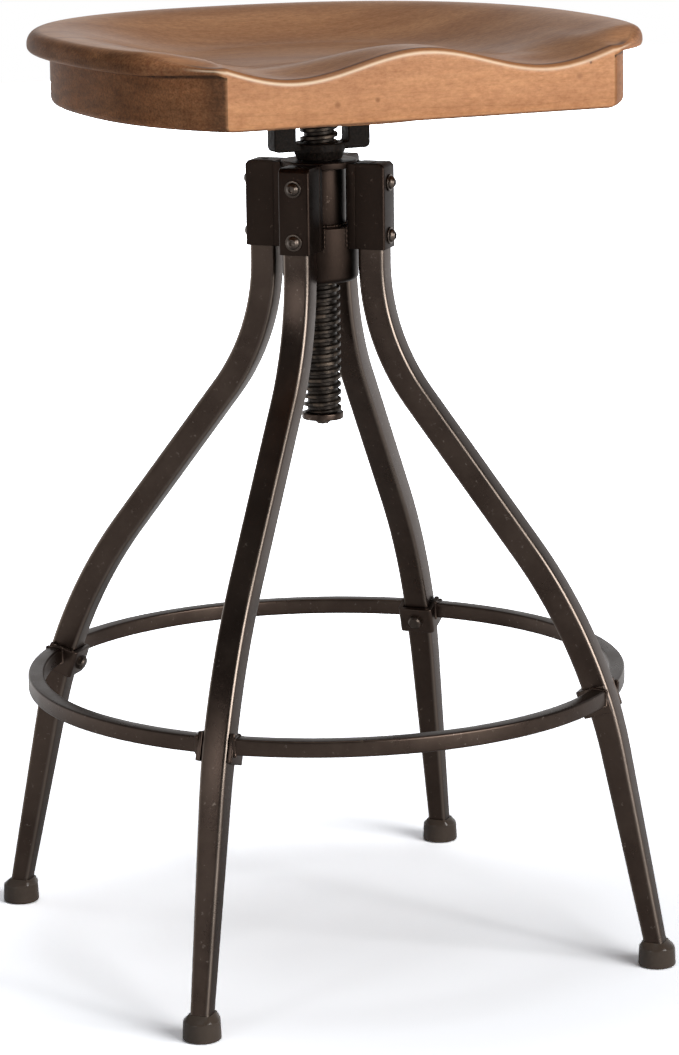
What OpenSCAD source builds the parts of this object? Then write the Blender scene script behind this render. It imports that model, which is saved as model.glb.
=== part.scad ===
// Adjustable bar stool: a carved wooden saddle seat on a lifting screw, in a hub on four bent legs.
// Origin: on the floor, on the screw's axis. +Z is up and the seat's front faces -Y.

/* [Seat] */
// Full width across the seat's rolled rim
seat_w = 428; // [360:1:480]
// Distance from the screw's axis to the flat front face
seat_front = 180; // [150:1:200]
// Distance from the screw's axis to the back of the rim
seat_back = 190; // [160:1:200]
// Width of the flat front face
seat_face_w = 300; // [240:1:320]
// Height of the seat's board from its underside to the rim's top at the back
seat_t = 53; // [46:1:60]
// Depth of the carved dish below the rim
dish_depth = 22; // [8:1:26]
// Height of the front corners above the seat's underside
corner_h = 41.5; // [39:0.5:46]
// Height of the front hollows above the seat's underside
hollow_h = 29.5; // [22:0.5:34]
// Height of the front crest above the seat's underside
crest_h = 46.5; // [36:0.5:50]
// Distance of each front hollow from the middle
hollow_x = 95; // [75:1:105]
// Thickness of the rolled rim
rim_t = 17; // [15:0.5:18]
// How far the rolled rim stands out over the apron
rim_out = 16; // [12:0.5:22]
// How far the rim still stands out where the flat front face cuts it
rim_front = 8; // [4:0.5:10]
// Rounding of the apron's lower edge
apron_round = 3.5; // [1:0.5:6]
// Diameter of the round mounting disc under the seat
disc_d = 200; // [150:1:240]
// Thickness of the mounting disc
disc_t = 11; // [8:0.5:18]

/* [Yoke] */
// Width of the cast yoke across its lugs
yoke_w = 77; // [64:1:90]
// Depth of the yoke from front to back
yoke_d = 14; // [10:1:24]
// Height of the yoke from its web's underside to the disc
yoke_h = 28; // [20:1:40]
// Thickness of the yoke's web
web_t = 5.2; // [4:0.2:10]
// Width of each lug
lug_w = 17.5; // [12:0.5:20]
// Rounding of the lugs' lower outer corners
lug_round = 4; // [1:0.5:6]
// Height of the boss between the web and the hub
boss_h = 6.7; // [4:0.1:14]
// Wall of the boss round the screw
boss_wall = 2.4; // [1.6:0.2:6]
// Length of each screw ear outside its lug
ear_l = 22; // [16:1:30]
// Thickness of the screw ears
ear_t = 5; // [3:0.5:8]
// Width of the screw ears
ear_w = 34; // [24:1:50]

/* [Screw] */
// Outer diameter of the lifting screw's thread
screw_d = 28; // [22:0.5:36]
// Rise of the thread in one turn
screw_pitch = 6; // [4:0.5:8]
// Depth of the thread
thread_depth = 2.8; // [1.5:0.1:3.5]
// Length of thread that shows below the hub with the seat at its lowest
screw_below = 99.2; // [60:0.1:140]
// Height of the screw's end above the yoke's web
screw_above = 15; // [8:0.5:20]
// Diameter of the stop washer
stop_d = 31; // [29.5:0.5:40]
// Thickness of the stop washer
stop_t = 5; // [3:0.5:8]
// Size of the end bolt across the flats of its head
end_bolt_af = 10; // [8:1:17]

/* [Hub] */
// Height of the hub's top above the floor
hub_top = 593; // [520:1:680]
// Outer diameter of the hub's top plate and nut body
hub_d = 56; // [50:1:64]
// Thickness of the hub's top plate
cap_t = 5; // [3:0.5:8]
// Height of the nut body
nut_h = 41; // [30:1:50]
// Height of the whole hub
hub_h = 89; // [80:1:110]
// Outer diameter of the tube between the top plate and the nut body
hub_tube_d = 38.4; // [36.4:0.2:44]
// Wall of that tube
hub_tube_wall = 4.4; // [2:0.2:4.6]
// Rounding of the nut body's lower edge
nut_round = 4; // [1:0.5:6]

/* [Legs] */
// Width of the square leg tube
leg_w = 20; // [16:0.5:22]
// Wall of the leg tube
leg_wall = 1.6; // [1.2:0.1:2.5]
// Outer corner radius of the leg tube
leg_round = 3; // [2:0.25:4]
// Width that the leg tube narrows to at the floor
leg_end_w = 14; // [12:0.5:18]
// Height at which the leg tube starts to narrow
taper_z = 200; // [120:1:260]
// Length of the straight part at the top of a leg
leg_top_l = 72; // [66:1:90]
// Radius of the upper bend, on the tube's axis
bend_upper_r = 163; // [130:1:190]
// Slant of the leg between its two bends, from the vertical
slant_upper = 37.3; // [30:0.1:40]
// Length of the slanted straight between the bends
slant_l = 137; // [110:1:160]
// Radius of the lower bend, on the tube's axis
bend_lower_r = 375; // [320:1:400]
// Slant of the lower straight, from the vertical
slant_lower = 12; // [8:0.5:16]

/* [Leg sockets] */
// Height of a leg socket
socket_h = 63; // [56:1:68]
// Sheet thickness of the sockets
socket_t = 1.8; // [1.5:0.1:2.5]
// Chamfer of the sockets' upper outer edge
socket_chamfer = 2.6; // [0.5:0.1:4]
// Diameter of the hole in a socket's top
socket_hole_d = 5; // [3:0.5:8]
// Height of the upper bolt below the socket's top
bolt_drop = 14.5; // [12:0.5:18]
// Distance between the two bolts in a socket
bolt_gap = 39; // [32:0.5:41]
// Thread diameter of the bolts
bolt_d = 6; // [5:0.5:6]

/* [Foot ring] */
// Height of the ring's middle above the floor
ring_z = 205; // [180:1:240]
// Width and height of the ring's square bar
ring_bar = 12; // [9:0.5:14]
// Corner radius of the ring's bar
ring_round = 1.6; // [0.5:0.1:3]
// How far the ring's middle line lies outside the legs' axes
ring_shift = 3.2; // [0:0.1:3.9]
// Thickness of the saddle plates
saddle_t = 3.6; // [2:0.2:5]
// Height of the saddle plates
saddle_h = 21; // [18:0.5:28]
// How far the saddle plates reach above the ring's middle
saddle_up = 7; // [6:0.5:9]

/* [Feet] */
// Diameter of a foot cap
foot_d = 28; // [26:0.5:36]
// Height of a foot cap
foot_h = 19; // [14:0.5:26]
// Thickness of a foot cap's floor
foot_floor = 4; // [2:0.5:8]
// Rounding of a foot cap's shoulder
foot_round = 3.5; // [1:0.25:5]

/* [Hidden] */

$fn = 48;
// Angles of the legs round the screw's axis
FRONT_RIGHT = -45;
REAR_RIGHT = 45;
REAR_LEFT = 135;
FRONT_LEFT = 225;
LEG_ANGLES = [FRONT_RIGHT, REAR_RIGHT, REAR_LEFT, FRONT_LEFT];

// Running clearance between the screw and the bores it turns in
run_gap = 0.08;
// Clearance between pieces that are bolted or pushed together
seat_gap = 0.15;
// Clearance between a straight saddle and the bent leg inside it
saddle_gap = 0.35;
// Gap left between a moving piece and what it comes to rest on
stop_gap = 0.3;
// Gap between curved faces that a weld closes
weld_gap = 0.02;
// Clearance round a bolt in the thread that it screws into
thread_gap = 0.05;
// Clearance round a wood screw or an insert in its pilot hole
pilot_gap = 0.1;
// Clearance round a bolt or a screw in a plain hole
hole_gap = 0.2;
// Space left past the end of a wood screw in its hole
end_gap = 0.5;
// Overlap of a cutter past the face that it cuts
cut = 1;

bronze = "#3b332e";
black_iron = "#26221f";
wood = "#a8754a";
plastic = "#2b2320";
steel = "#6a6460";

// Heights of the hub and of what stands on it
hub_bottom = hub_top - hub_h;
nut_top = hub_bottom + nut_h;
tube_top = hub_top - cap_t;
web_bottom = hub_top + stop_gap + boss_h;
disc_bottom = web_bottom + yoke_h;
seat_bottom = disc_bottom + disc_t;
screw_top = web_bottom + web_t + screw_above;
screw_bottom = hub_bottom - screw_below;
screw_r = screw_d / 2;
bore_r = screw_r + run_gap;

// Places of the leg sockets, measured from the screw's axis. The sockets' sides run past the hub's
// surface by socket_root before the hub's shape is cut out of them.
socket_stand = 2.6;
socket_root = 6;
hub_r = hub_d / 2;
hub_tube_r = hub_tube_d / 2;
socket_in = hub_r + socket_stand;
leg_cell = leg_w + 2 * seat_gap;
socket_w = leg_cell + 2 * socket_t;
leg_r = socket_in + socket_t + leg_cell / 2;
socket_out = socket_in + leg_cell + 2 * socket_t;
socket_top = hub_top - 1;
socket_bottom = socket_top - socket_h;
bolt_zs = [socket_top - bolt_drop, socket_top - bolt_drop - bolt_gap];
bolt_r = bolt_d / 2;
bolt_hole_r = bolt_r + hole_gap;
washer_r = bolt_d;
washer_t = 1.2;
head_r = 0.875 * bolt_d;
head_h = 0.55 * bolt_d;

// Points of the leg's axis in its own upright plane, as [distance from the screw's axis, height]
leg_p0 = [leg_r, socket_top - socket_t - seat_gap];
leg_p1 = leg_p0 - [0, leg_top_l];
leg_p2 = leg_p1 + bend_upper_r * [1 - cos(slant_upper), -sin(slant_upper)];
leg_p3 = leg_p2 + slant_l * [sin(slant_upper), -cos(slant_upper)];
leg_c3 = leg_p3 - bend_lower_r * [cos(slant_upper), sin(slant_upper)];
leg_p4 = leg_c3 + bend_lower_r * [cos(slant_lower), sin(slant_lower)];
leg_p5 = [leg_p4[0] + (leg_p4[1] - foot_floor) * tan(slant_lower), foot_floor];
foot_r = leg_p5[0] - (foot_h - foot_floor) / 2 * tan(slant_lower);

// Number of straight pieces in each bend of a leg
bend_steps = 11;
// Slant of the leg where the ring meets it, and the leg's axis there
ring_slant = asin(min(1, max(-1, (ring_z - leg_c3[1]) / bend_lower_r)));
ring_leg_r = leg_c3[0] + bend_lower_r * cos(ring_slant);
ring_r = ring_leg_r + ring_shift;
saddle_in_w = leg_w + 2 * saddle_gap;
saddle_w = saddle_in_w + 2 * saddle_t;
saddle_mid = (saddle_h / 2 - saddle_up);
saddle_back = saddle_in_w / 2 + saddle_t;
insert_r = 0.75 * bolt_d;
insert_l = 10;
ring_head_h = 4.5;

// Outline of the seat's apron: a rounded rectangle that the flat front cuts off
outline_power = 2.4;
apron_w2 = seat_w / 2 - rim_out;
face_share = pow(1 - pow(seat_face_w / 2 / apron_w2, outline_power), 1 / outline_power);
apron_back = seat_back - rim_out;
apron_d2 = (seat_front + apron_back) / (1 + face_share);
outline_y = apron_back - apron_d2;
face_angle = asin(pow(face_share, outline_power / 2));
side_steps = 60;
face_steps = 18;
outline_steps = side_steps + face_steps;

// Section of the rolled rim: large radius on top, small one below
rim_top_r = 10;
rim_low_r = 4;
rim_under = seat_t - rim_t;
// Lengths from the front face back: where the rim is full height, where it stands out in full, and
// where the wave of the front edge has run out into the dish
rim_rise_l = 60;
rim_spread_l = 60;
wave_l = 135;
// Shares of the way from the seat's middle to the rim between which the dish rises
dish_floor = 0.42;
dish_edge = 0.98;
// Half the width of the front edge, at the start of the rim's rounding
wave_x = seat_face_w / 2 + rim_front * (1 - rim_top_r / rim_out);

// Screws through the yoke's ears
ear_edge = 8;
ear_x = yoke_w / 2 + ear_l / 2;
ear_y = ear_w / 2 - ear_edge;
wood_screw_r = 2.25;
wood_screw_head_r = 4.5;
wood_screw_head_h = 2.6;
wood_screw_bite = 9;
wood_screw_l = ear_t + disc_t + wood_screw_bite;
wood_screw_z = disc_bottom - ear_t;

// Smooth step from 0 to 1 while x goes from a to b
function ease(a, b, x) = let (t = min(1, max(0, (x - a) / (b - a)))) t * t * (3 - 2 * t);
function mix(a, b, t) = a + (b - a) * t;
// Power of a number that keeps the number's sign
function signed_pow(x, p) = sign(x) * pow(abs(x), p);

// Point i of the seat's outline, grown by out: right front corner, sides and back, left front
// corner, then the flat front from left to right
function side_angle(i) = mix(-face_angle, 180 + face_angle, i / side_steps);
function side_y(i, grow) = outline_y
    + (apron_d2 + grow) * signed_pow(sin(side_angle(i)), 2 / outline_power);
function side_x(i, grow) = (apron_w2 + grow) * signed_pow(cos(side_angle(i)), 2 / outline_power);
function rim_grow(i, out) = out
    * mix(rim_front / rim_out, 1, ease(-seat_front, rim_spread_l - seat_front, side_y(i, 0)));
function corner_x(out) = seat_face_w / 2 + rim_front * out / rim_out;
function outline_point(i, out) =
    i == 0 ? [corner_x(out), -seat_front]
    : i < side_steps ? [side_x(i, rim_grow(i, out)), max(-seat_front, side_y(i, rim_grow(i, out)))]
    : [mix(-corner_x(out), corner_x(out), (i - side_steps) / face_steps), -seat_front];

// Height of the front edge above the seat's underside at distance x from the middle
function front_h(x) = abs(x) < hollow_x
    ? mix(hollow_h, crest_h, (1 + cos(180 * x / hollow_x)) / 2)
    : mix(hollow_h, corner_h, 1 - cos(90 * (min(wave_x, abs(x)) - hollow_x) / (wave_x - hollow_x)));
// Height of the rim's top above the seat's underside at depth y: it drops only near the front
function rim_h(y) = mix(seat_t, corner_h, pow(1 - min(1, (y + seat_front) / rim_rise_l), 3));
// Height of the carved top at a share s of the way from the middle to outline point p
function top_h(p, s) = mix(rim_h(p[1] * s) - dish_depth * (1 - ease(dish_floor, dish_edge, s)),
    front_h(p[0] * s), ease(wave_l - seat_front, -seat_front, p[1] * s));

// Shares of the way to the rim of the top's rings, and angles of the rim's and the edges' rings
top_shares = [0.12, 0.26, 0.4, 0.52, 0.63, 0.73, 0.82, 0.89, 0.95];
rim_turns = [22.5, 45, 67.5, 90];
edge_turns = [0, 45, 90];

// Rings of points round the seat's skin
function top_ring(s) = [for (i = [0:outline_steps - 1])
    let (p = outline_point(i, rim_out - rim_top_r)) [p[0] * s, p[1] * s, top_h(p, s)]];
function edge_ring() = [for (i = [0:outline_steps - 1]) let (p = outline_point(i, rim_out - rim_top_r))
    [p[0], p[1], i > side_steps ? front_h(p[0]) : rim_h(p[1])]];
// Open rings from the right front corner round the back to the left one
function rim_ring(out, drop) = [for (i = [0:side_steps]) let (p = outline_point(i, out))
    [p[0], p[1], mix(rim_h(p[1]), rim_under, drop / rim_t)]];
function wall_ring(h, inset) = [for (i = [0:side_steps]) let (p = outline_point(i, 0),
    f = 1 - inset / seat_front * ease(-seat_front, rim_spread_l - seat_front, p[1]))
    [p[0] * f, p[1] * f, h]];

// One skin: carved top, rolled rim, apron, flat front and flat underside
module seat_skin() {
    tops = [for (s = top_shares) for (p = top_ring(s)) p];
    rim = concat(
        [for (a = rim_turns) for (p = rim_ring(rim_out - rim_top_r * (1 - sin(a)),
            rim_top_r * (1 - cos(a)))) p],
        [for (a = edge_turns) for (p = rim_ring(rim_out - rim_low_r * (1 - cos(a)),
            rim_t - rim_low_r * (1 - sin(a)))) p]);
    walls = concat(wall_ring(rim_under, 0), wall_ring(rim_under / 2, 0), [for (a = edge_turns)
        for (p = wall_ring(apron_round * (1 - sin(a)), apron_round * (1 - cos(a)))) p]);
    foot_line = [for (j = [1:face_steps - 1])
        [outline_point(side_steps + j, 0)[0], -seat_front, 0]];
    points = concat([[0, 0, top_h([0, 0], 0)]], tops, edge_ring(), rim, walls, foot_line, [[0, 0, 0]]);
    // Numbers of closed rings, and of open rings to the lip's underside and to the foot
    closed = len(top_shares) + 1;
    lip = len(rim_turns) + len(edge_turns) + 1;
    open = lip + 1 + len(edge_turns);
    last = len(points) - 1;
    side = side_steps + 1;
    // Point i of closed ring k, point i of open ring k (the edge counts as 0), point j of the front
    // edge and point j of the front face's foot, from left to right
    function at(k, i) = 1 + k * outline_steps + i % outline_steps;
    function open_at(k, i) = k == 0 ? at(closed - 1, i) : 1 + closed * outline_steps + (k - 1) * side + i;
    function wave_at(j) = at(closed - 1, side_steps + j);
    function foot_at(j) = last - face_steps + j;
    function quad(a, b, c, d) = [[a, b, c], [a, c, d]];
    // End of the front face, between front points w and b and the corner's column of points
    function end_faces(i, w, b) = concat([[w, open_at(0, i), open_at(lip, i)]],
        [for (k = [0:lip - 2]) [open_at(lip, i), open_at(k, i), open_at(k + 1, i)]],
        [for (k = [lip:open - 1]) [w, open_at(k, i), open_at(k + 1, i)]], [[w, open_at(open, i), b]]);
    faces = concat(
        [for (i = [0:outline_steps - 1]) [0, at(0, i + 1), at(0, i)]],
        [for (k = [0:closed - 2]) for (i = [0:outline_steps - 1])
            for (f = quad(at(k, i), at(k, i + 1), at(k + 1, i + 1), at(k + 1, i))) f],
        [for (k = [0:open - 1]) for (i = [0:side_steps - 1])
            for (f = quad(open_at(k, i), open_at(k, i + 1), open_at(k + 1, i + 1), open_at(k + 1, i))) f],
        [for (j = [1:face_steps - 2])
            for (f = quad(wave_at(j), wave_at(j + 1), foot_at(j + 1), foot_at(j))) f],
        end_faces(0, wave_at(face_steps - 1), foot_at(face_steps - 1)),
        [for (f = end_faces(side_steps, wave_at(1), foot_at(1))) [f[0], f[2], f[1]]],
        [for (i = [0:side_steps - 1]) [last, open_at(open, i), open_at(open, i + 1)]],
        [for (j = [1:face_steps - 2]) [last, foot_at(j), foot_at(j + 1)]],
        [[last, open_at(open, side_steps), foot_at(1)], [last, foot_at(face_steps - 1), open_at(open, 0)]]);
    polyhedron(points, faces);
}

module at_ear_screws() {
    for (x = [-ear_x, ear_x]) for (y = [-ear_y, ear_y])
        translate([x, y, wood_screw_z]) children();
}

module seat() {
    color(wood) difference() {
        translate([0, 0, seat_bottom]) seat_skin();
        at_ear_screws() cylinder(r = wood_screw_r + pilot_gap, h = wood_screw_l + end_gap);
    }
}

module seat_disc() {
    color(wood) difference() {
        translate([0, 0, disc_bottom]) cylinder(d = disc_d, h = disc_t, $fn = 96);
        at_ear_screws() cylinder(r = wood_screw_r + pilot_gap, h = wood_screw_l + end_gap);
    }
}

// Pan-head wood screws: head under the ear, round shank up into the wood
module seat_screws() {
    color(steel) at_ear_screws() rotate_extrude() polygon([
        [0, -wood_screw_head_h], [wood_screw_head_r - 1, -wood_screw_head_h], [wood_screw_head_r, -1.4],
        [wood_screw_head_r, 0], [wood_screw_r, 0], [wood_screw_r, wood_screw_l - 4], [0, wood_screw_l]]);
}

// Front view of the yoke: web, two lugs with rounded lower corners, and the ears at their tops
module yoke_outline() {
    half = yoke_w / 2;
    difference() {
        union() {
            translate([-half, lug_round]) square([yoke_w, yoke_h - lug_round]);
            translate([-half + lug_round, 0]) square([yoke_w - 2 * lug_round, lug_round]);
            for (s = [-1, 1]) translate([s * (half - lug_round), lug_round]) circle(r = lug_round);
        }
        translate([-half + lug_w, web_t]) square([yoke_w - 2 * lug_w, yoke_h]);
    }
}

module yoke() {
    web_pad = 2.5;
    color(black_iron) translate([0, 0, web_bottom]) difference() {
        union() {
            translate([0, yoke_d / 2, 0]) rotate([90, 0, 0]) linear_extrude(yoke_d) yoke_outline();
            for (s = [-1, 1]) translate([s * ear_x, 0, yoke_h - ear_t / 2])
                cube([ear_l + 2 * lug_round, ear_w, ear_t], center = true);
            cylinder(r = bore_r + boss_wall + web_pad, h = web_t);
            translate([0, 0, -boss_h]) cylinder(r = bore_r + boss_wall, h = boss_h + cut);
        }
        translate([0, 0, -boss_h - cut]) cylinder(r = bore_r, h = boss_h + web_t + 2 * cut);
        translate([0, 0, -web_bottom]) at_ear_screws()
            translate([0, 0, -cut]) cylinder(r = wood_screw_r + hole_gap, h = ear_t + 2 * cut);
    }
}

// Screw thread as one skin wound up the axis. Each turn has four points: the root's end, the
// lower and upper edge of the crest, and the next root's start.
thread_steps = 18;
crest_share = 0.34;
flank_share = 0.16;
root_share = 1 - crest_share - 2 * flank_share;

module thread(length) {
    root_r = screw_r - thread_depth;
    radii = [root_r, screw_r, screw_r, root_r];
    shares = [0, flank_share, flank_share + crest_share, 1 - root_share];
    steps = floor((length / screw_pitch - 1) * thread_steps);
    last_turn = steps - thread_steps;
    points = concat(
        [for (k = [0:steps]) for (j = [0:3]) let (a = 360 * k / thread_steps)
            [radii[j] * cos(a), radii[j] * sin(a), screw_pitch * (k / thread_steps + shares[j])]],
        [[0, 0, screw_pitch / 2], [0, 0, screw_pitch * (steps / thread_steps + 0.3)]]);
    low = 4 * (steps + 1);
    high = low + 1;
    function at(k, j) = 4 * k + j;
    function quad(a, b, c, d) = [[a, b, c], [a, c, d]];
    walls = [for (k = [0:steps - 1]) for (j = [0:2])
        for (f = quad(at(k, j), at(k, j + 1), at(k + 1, j + 1), at(k + 1, j))) f];
    roots = [for (k = [0:last_turn - 1])
        for (f = quad(at(k, 3), at(k + thread_steps, 0), at(k + thread_steps + 1, 0), at(k + 1, 3))) f];
    bottom = concat([for (k = [0:thread_steps - 1]) [low, at(k, 0), at(k + 1, 0)]],
        [for (j = [0:2]) [low, at(0, j + 1), at(0, j)]], [[low, at(thread_steps, 0), at(0, 3)]]);
    top = concat([for (k = [last_turn:steps - 1]) [high, at(k + 1, 3), at(k, 3)]],
        [for (j = [0:2]) [high, at(steps, j), at(steps, j + 1)]],
        [[high, at(last_turn, 3), at(steps, 0)]]);
    polyhedron(points, concat(walls, roots, bottom, top));
}

module screw() {
    core_r = screw_r - thread_depth - 0.6;
    color(bronze) difference() {
        union() {
            translate([0, 0, screw_bottom + 1]) thread(screw_top - screw_bottom - 2);
            translate([0, 0, screw_bottom]) cylinder(r = core_r, h = 2.5 * screw_pitch);
            translate([0, 0, screw_top - 2.5 * screw_pitch]) cylinder(r = core_r, h = 2.5 * screw_pitch);
        }
        translate([0, 0, screw_bottom - cut]) cylinder(r = bolt_r + thread_gap, h = 2 * screw_pitch + cut);
    }
}

module end_bolt() {
    head = 0.4 * end_bolt_af;
    color(steel) {
        translate([0, 0, screw_bottom - stop_t - 2 * seat_gap - head])
            cylinder(d = end_bolt_af / cos(30), h = head, $fn = 6);
        translate([0, 0, screw_bottom - stop_t - 2 * seat_gap - 0.01])
            cylinder(r = bolt_r, h = stop_t + 2 * seat_gap + 1.8 * screw_pitch);
    }
}

module stop_washer() {
    color(bronze) translate([0, 0, screw_bottom - stop_t - seat_gap]) difference() {
        cylinder(d = stop_d, h = stop_t);
        translate([0, 0, -cut]) cylinder(r = bolt_r + run_gap, h = stop_t + 2 * cut);
    }
}

module hub_cap() {
    color(bronze) translate([0, 0, tube_top]) difference() {
        cylinder(r = hub_r, h = cap_t);
        translate([0, 0, -cut]) cylinder(r = bore_r, h = cap_t + 2 * cut);
    }
}

module socket_bolt_holes(r) {
    for (a = LEG_ANGLES) for (z = bolt_zs) rotate([0, 0, a]) translate([0, 0, z])
        rotate([0, 90, 0]) cylinder(r = r, h = socket_out + cut);
}

module hub_tube() {
    color(bronze) difference() {
        translate([0, 0, nut_top]) cylinder(r = hub_tube_r, h = tube_top - nut_top);
        translate([0, 0, nut_top - cut])
            cylinder(r = hub_tube_r - hub_tube_wall, h = tube_top - nut_top + 2 * cut);
        socket_bolt_holes(bolt_r + thread_gap);
    }
}

// Thick nut at the hub's bottom, with its lower edge turned round
module nut_body() {
    color(bronze) difference() {
        translate([0, 0, hub_bottom]) rotate_extrude() {
            translate([0, nut_round]) square([hub_r, nut_h - nut_round]);
            square([hub_r - nut_round, nut_h]);
            translate([hub_r - nut_round, nut_round]) circle(r = nut_round);
        }
        translate([0, 0, hub_bottom - cut]) cylinder(r = bore_r, h = nut_h + 2 * cut);
        socket_bolt_holes(bolt_r + thread_gap);
    }
}

// Sheet box round a leg's top. Its sides run on to the hub, which they are welded to.
module socket(angle) {
    reach = socket_out - hub_r + socket_root;
    color(bronze) rotate([0, 0, angle]) difference() {
        translate([socket_out - reach, -socket_w / 2, socket_bottom]) cube([reach, socket_w, socket_h]);
        translate([leg_r - leg_cell / 2, -leg_cell / 2, socket_bottom - cut])
            cube([leg_cell, leg_cell, socket_h - socket_t + cut]);
        translate([socket_in - reach, -leg_cell / 2, socket_bottom - cut])
            cube([reach, leg_cell, socket_h + 2 * cut]);
        translate([0, 0, socket_bottom - cut]) cylinder(r = hub_r + weld_gap, h = socket_h + 2 * cut);
        translate([socket_out, 0, socket_top]) rotate([0, 45, 0])
            cube([socket_chamfer * sqrt(2), socket_w + 2 * cut, socket_chamfer * sqrt(2)], center = true);
        translate([leg_r, 0, socket_top - socket_t - cut])
            cylinder(d = socket_hole_d, h = socket_t + 2 * cut);
        for (z = bolt_zs) translate([0, 0, z]) rotate([0, 90, 0])
            cylinder(r = bolt_hole_r, h = socket_out + cut);
    }
}

// Square with round corners, made of squares and circles
module round_square(w, r) {
    square([w - 2 * r, w], center = true);
    square([w, w - 2 * r], center = true);
    for (x = [-1, 1]) for (y = [-1, 1]) translate([x, y] * (w / 2 - r)) circle(r = r, $fn = 32);
}

// Width of the leg tube at height z: full above taper_z, then narrowing evenly to the floor
function leg_w_at(z) = mix(leg_end_w, leg_w, min(1, z / taper_z));

// Stations down the leg's axis: [distance from the screw's axis, height, outward step of the cross
// section in distance, and in height]. The last one is level, where the leg stands in its cap.
function station(p, t) = [p[0], p[1], cos(t), sin(t)];
leg_stations = concat(
    [station(leg_p0, 0)],
    [for (k = [0:bend_steps]) let (t = slant_upper * k / bend_steps)
        station(leg_p1 + bend_upper_r * [1 - cos(t), -sin(t)], t)],
    [for (k = [0:bend_steps]) let (t = mix(slant_upper, slant_lower, k / bend_steps))
        station(leg_c3 + bend_lower_r * [cos(t), sin(t)], t)],
    [[leg_p5[0], leg_p5[1], 1 / cos(slant_lower), 0]]);

// Corner points of a square with round corners, anticlockwise
function square_points(w, r) = [for (q = [0:3]) for (j = [0:2])
    let (a = 90 * q + 45 * j, c = w / 2 - r)
    [c * (q == 0 || q == 3 ? 1 : -1) + r * cos(a), c * (q < 2 ? 1 : -1) + r * sin(a)]];

// One ring of points for each station, drawn in by inset all round
function leg_ring(s, inset, r) = let (w = leg_w_at(s[1]) - 2 * inset)
    [for (p = square_points(w, r)) [s[0] + p[0] * s[2], p[1], s[1] + p[0] * s[3]]];

// Bent tube: an outer and an inner skin, joined at both ends. The inner corners are as tight as a
// drawn tube's: their radius is the outer one less the wall, and a little more.
module leg_tube() {
    n = 12;
    rows = len(leg_stations);
    outer = [for (s = leg_stations) for (p = leg_ring(s, 0, leg_round)) p];
    inner = [for (s = leg_stations) for (p = leg_ring(s, leg_wall, leg_round - leg_wall + 0.2)) p];
    function at(side, k, i) = (side * rows + k) * n + i % n;
    function quad(a, b, c, d) = [[a, b, c], [a, c, d]];
    faces = concat(
        [for (k = [0:rows - 2]) for (i = [0:n - 1])
            for (f = quad(at(0, k, i), at(0, k, i + 1), at(0, k + 1, i + 1), at(0, k + 1, i))) f],
        [for (k = [0:rows - 2]) for (i = [0:n - 1])
            for (f = quad(at(1, k, i + 1), at(1, k, i), at(1, k + 1, i), at(1, k + 1, i + 1))) f],
        [for (i = [0:n - 1])
            for (f = quad(at(0, 0, i + 1), at(0, 0, i), at(1, 0, i), at(1, 0, i + 1))) f],
        [for (i = [0:n - 1]) for (f = quad(at(0, rows - 1, i), at(0, rows - 1, i + 1),
            at(1, rows - 1, i + 1), at(1, rows - 1, i))) f]);
    polyhedron(concat(outer, inner), faces);
}

module leg(angle) {
    color(bronze) rotate([0, 0, angle]) difference() {
        leg_tube();
        for (z = bolt_zs) translate([0, 0, z]) rotate([0, 90, 0])
            cylinder(r = bolt_hole_r, h = socket_out + cut);
        at_ring_bolt() translate([0, 0, saddle_t])
            cylinder(r = insert_r + pilot_gap, h = leg_wall + 2 * cut);
    }
}

// Button-head bolts with hexagon sockets, through the sockets and legs into the hub
module socket_bolts() {
    key_r = 0.33 * bolt_d;
    color(steel) for (a = LEG_ANGLES) for (z = bolt_zs) rotate([0, 0, a]) translate([0, 0, z])
        rotate([0, 90, 0]) difference() {
            rotate_extrude() polygon(concat(
                [[0, screw_r + 1.2], [bolt_r, screw_r + 1.2], [bolt_r, socket_out + washer_t],
                    [head_r, socket_out + washer_t]],
                [for (t = [15:15:75]) [head_r * cos(t), socket_out + washer_t + head_h * sin(t)]],
                [[0, socket_out + washer_t + head_h]]));
            translate([0, 0, socket_out + washer_t + head_h * 0.35])
                cylinder(r = key_r, h = head_h, $fn = 6);
        }
}

module socket_washers() {
    color(steel) for (a = LEG_ANGLES) for (z = bolt_zs) rotate([0, 0, a])
        translate([socket_out, 0, z]) rotate([0, 90, 0]) difference() {
            cylinder(r = washer_r, h = washer_t);
            translate([0, 0, -cut]) cylinder(r = bolt_hole_r, h = washer_t + 2 * cut);
        }
}

// Quarter of the foot ring between the saddles at two neighbouring legs
module ring(angle) {
    color(bronze) difference() {
        rotate([0, 0, angle]) rotate_extrude(angle = 90, $fn = 128)
            translate([ring_r, ring_z]) round_square(ring_bar, ring_round);
        for (a = [angle, angle + 90]) rotate([0, 0, a])
            translate([ring_r - leg_w, -saddle_w / 2, ring_z - ring_bar])
                cube([2 * leg_w, saddle_w, 2 * ring_bar]);
    }
}

// Places its children where the ring bolt meets the saddle's inner face, with +Z outwards
// square to the leg
module at_ring_bolt() {
    translate([ring_leg_r, 0, ring_z]) rotate([0, 90 - ring_slant, 0])
        translate([saddle_mid, 0, -saddle_back]) children();
}

// U-shaped plate round the inner face and the sides of a leg
module saddle(angle) {
    depth = saddle_back + ring_shift + ring_bar / 2;
    color(bronze) rotate([0, 0, angle]) difference() {
        at_ring_bolt() translate([-saddle_h / 2, -saddle_w / 2, 0]) cube([saddle_h, saddle_w, depth]);
        at_ring_bolt() translate([-saddle_h, -saddle_in_w / 2, saddle_t])
            cube([2 * saddle_h, saddle_in_w, depth]);
        at_ring_bolt() translate([0, 0, -cut]) cylinder(r = bolt_hole_r, h = saddle_t + 2 * cut);
    }
}

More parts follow.
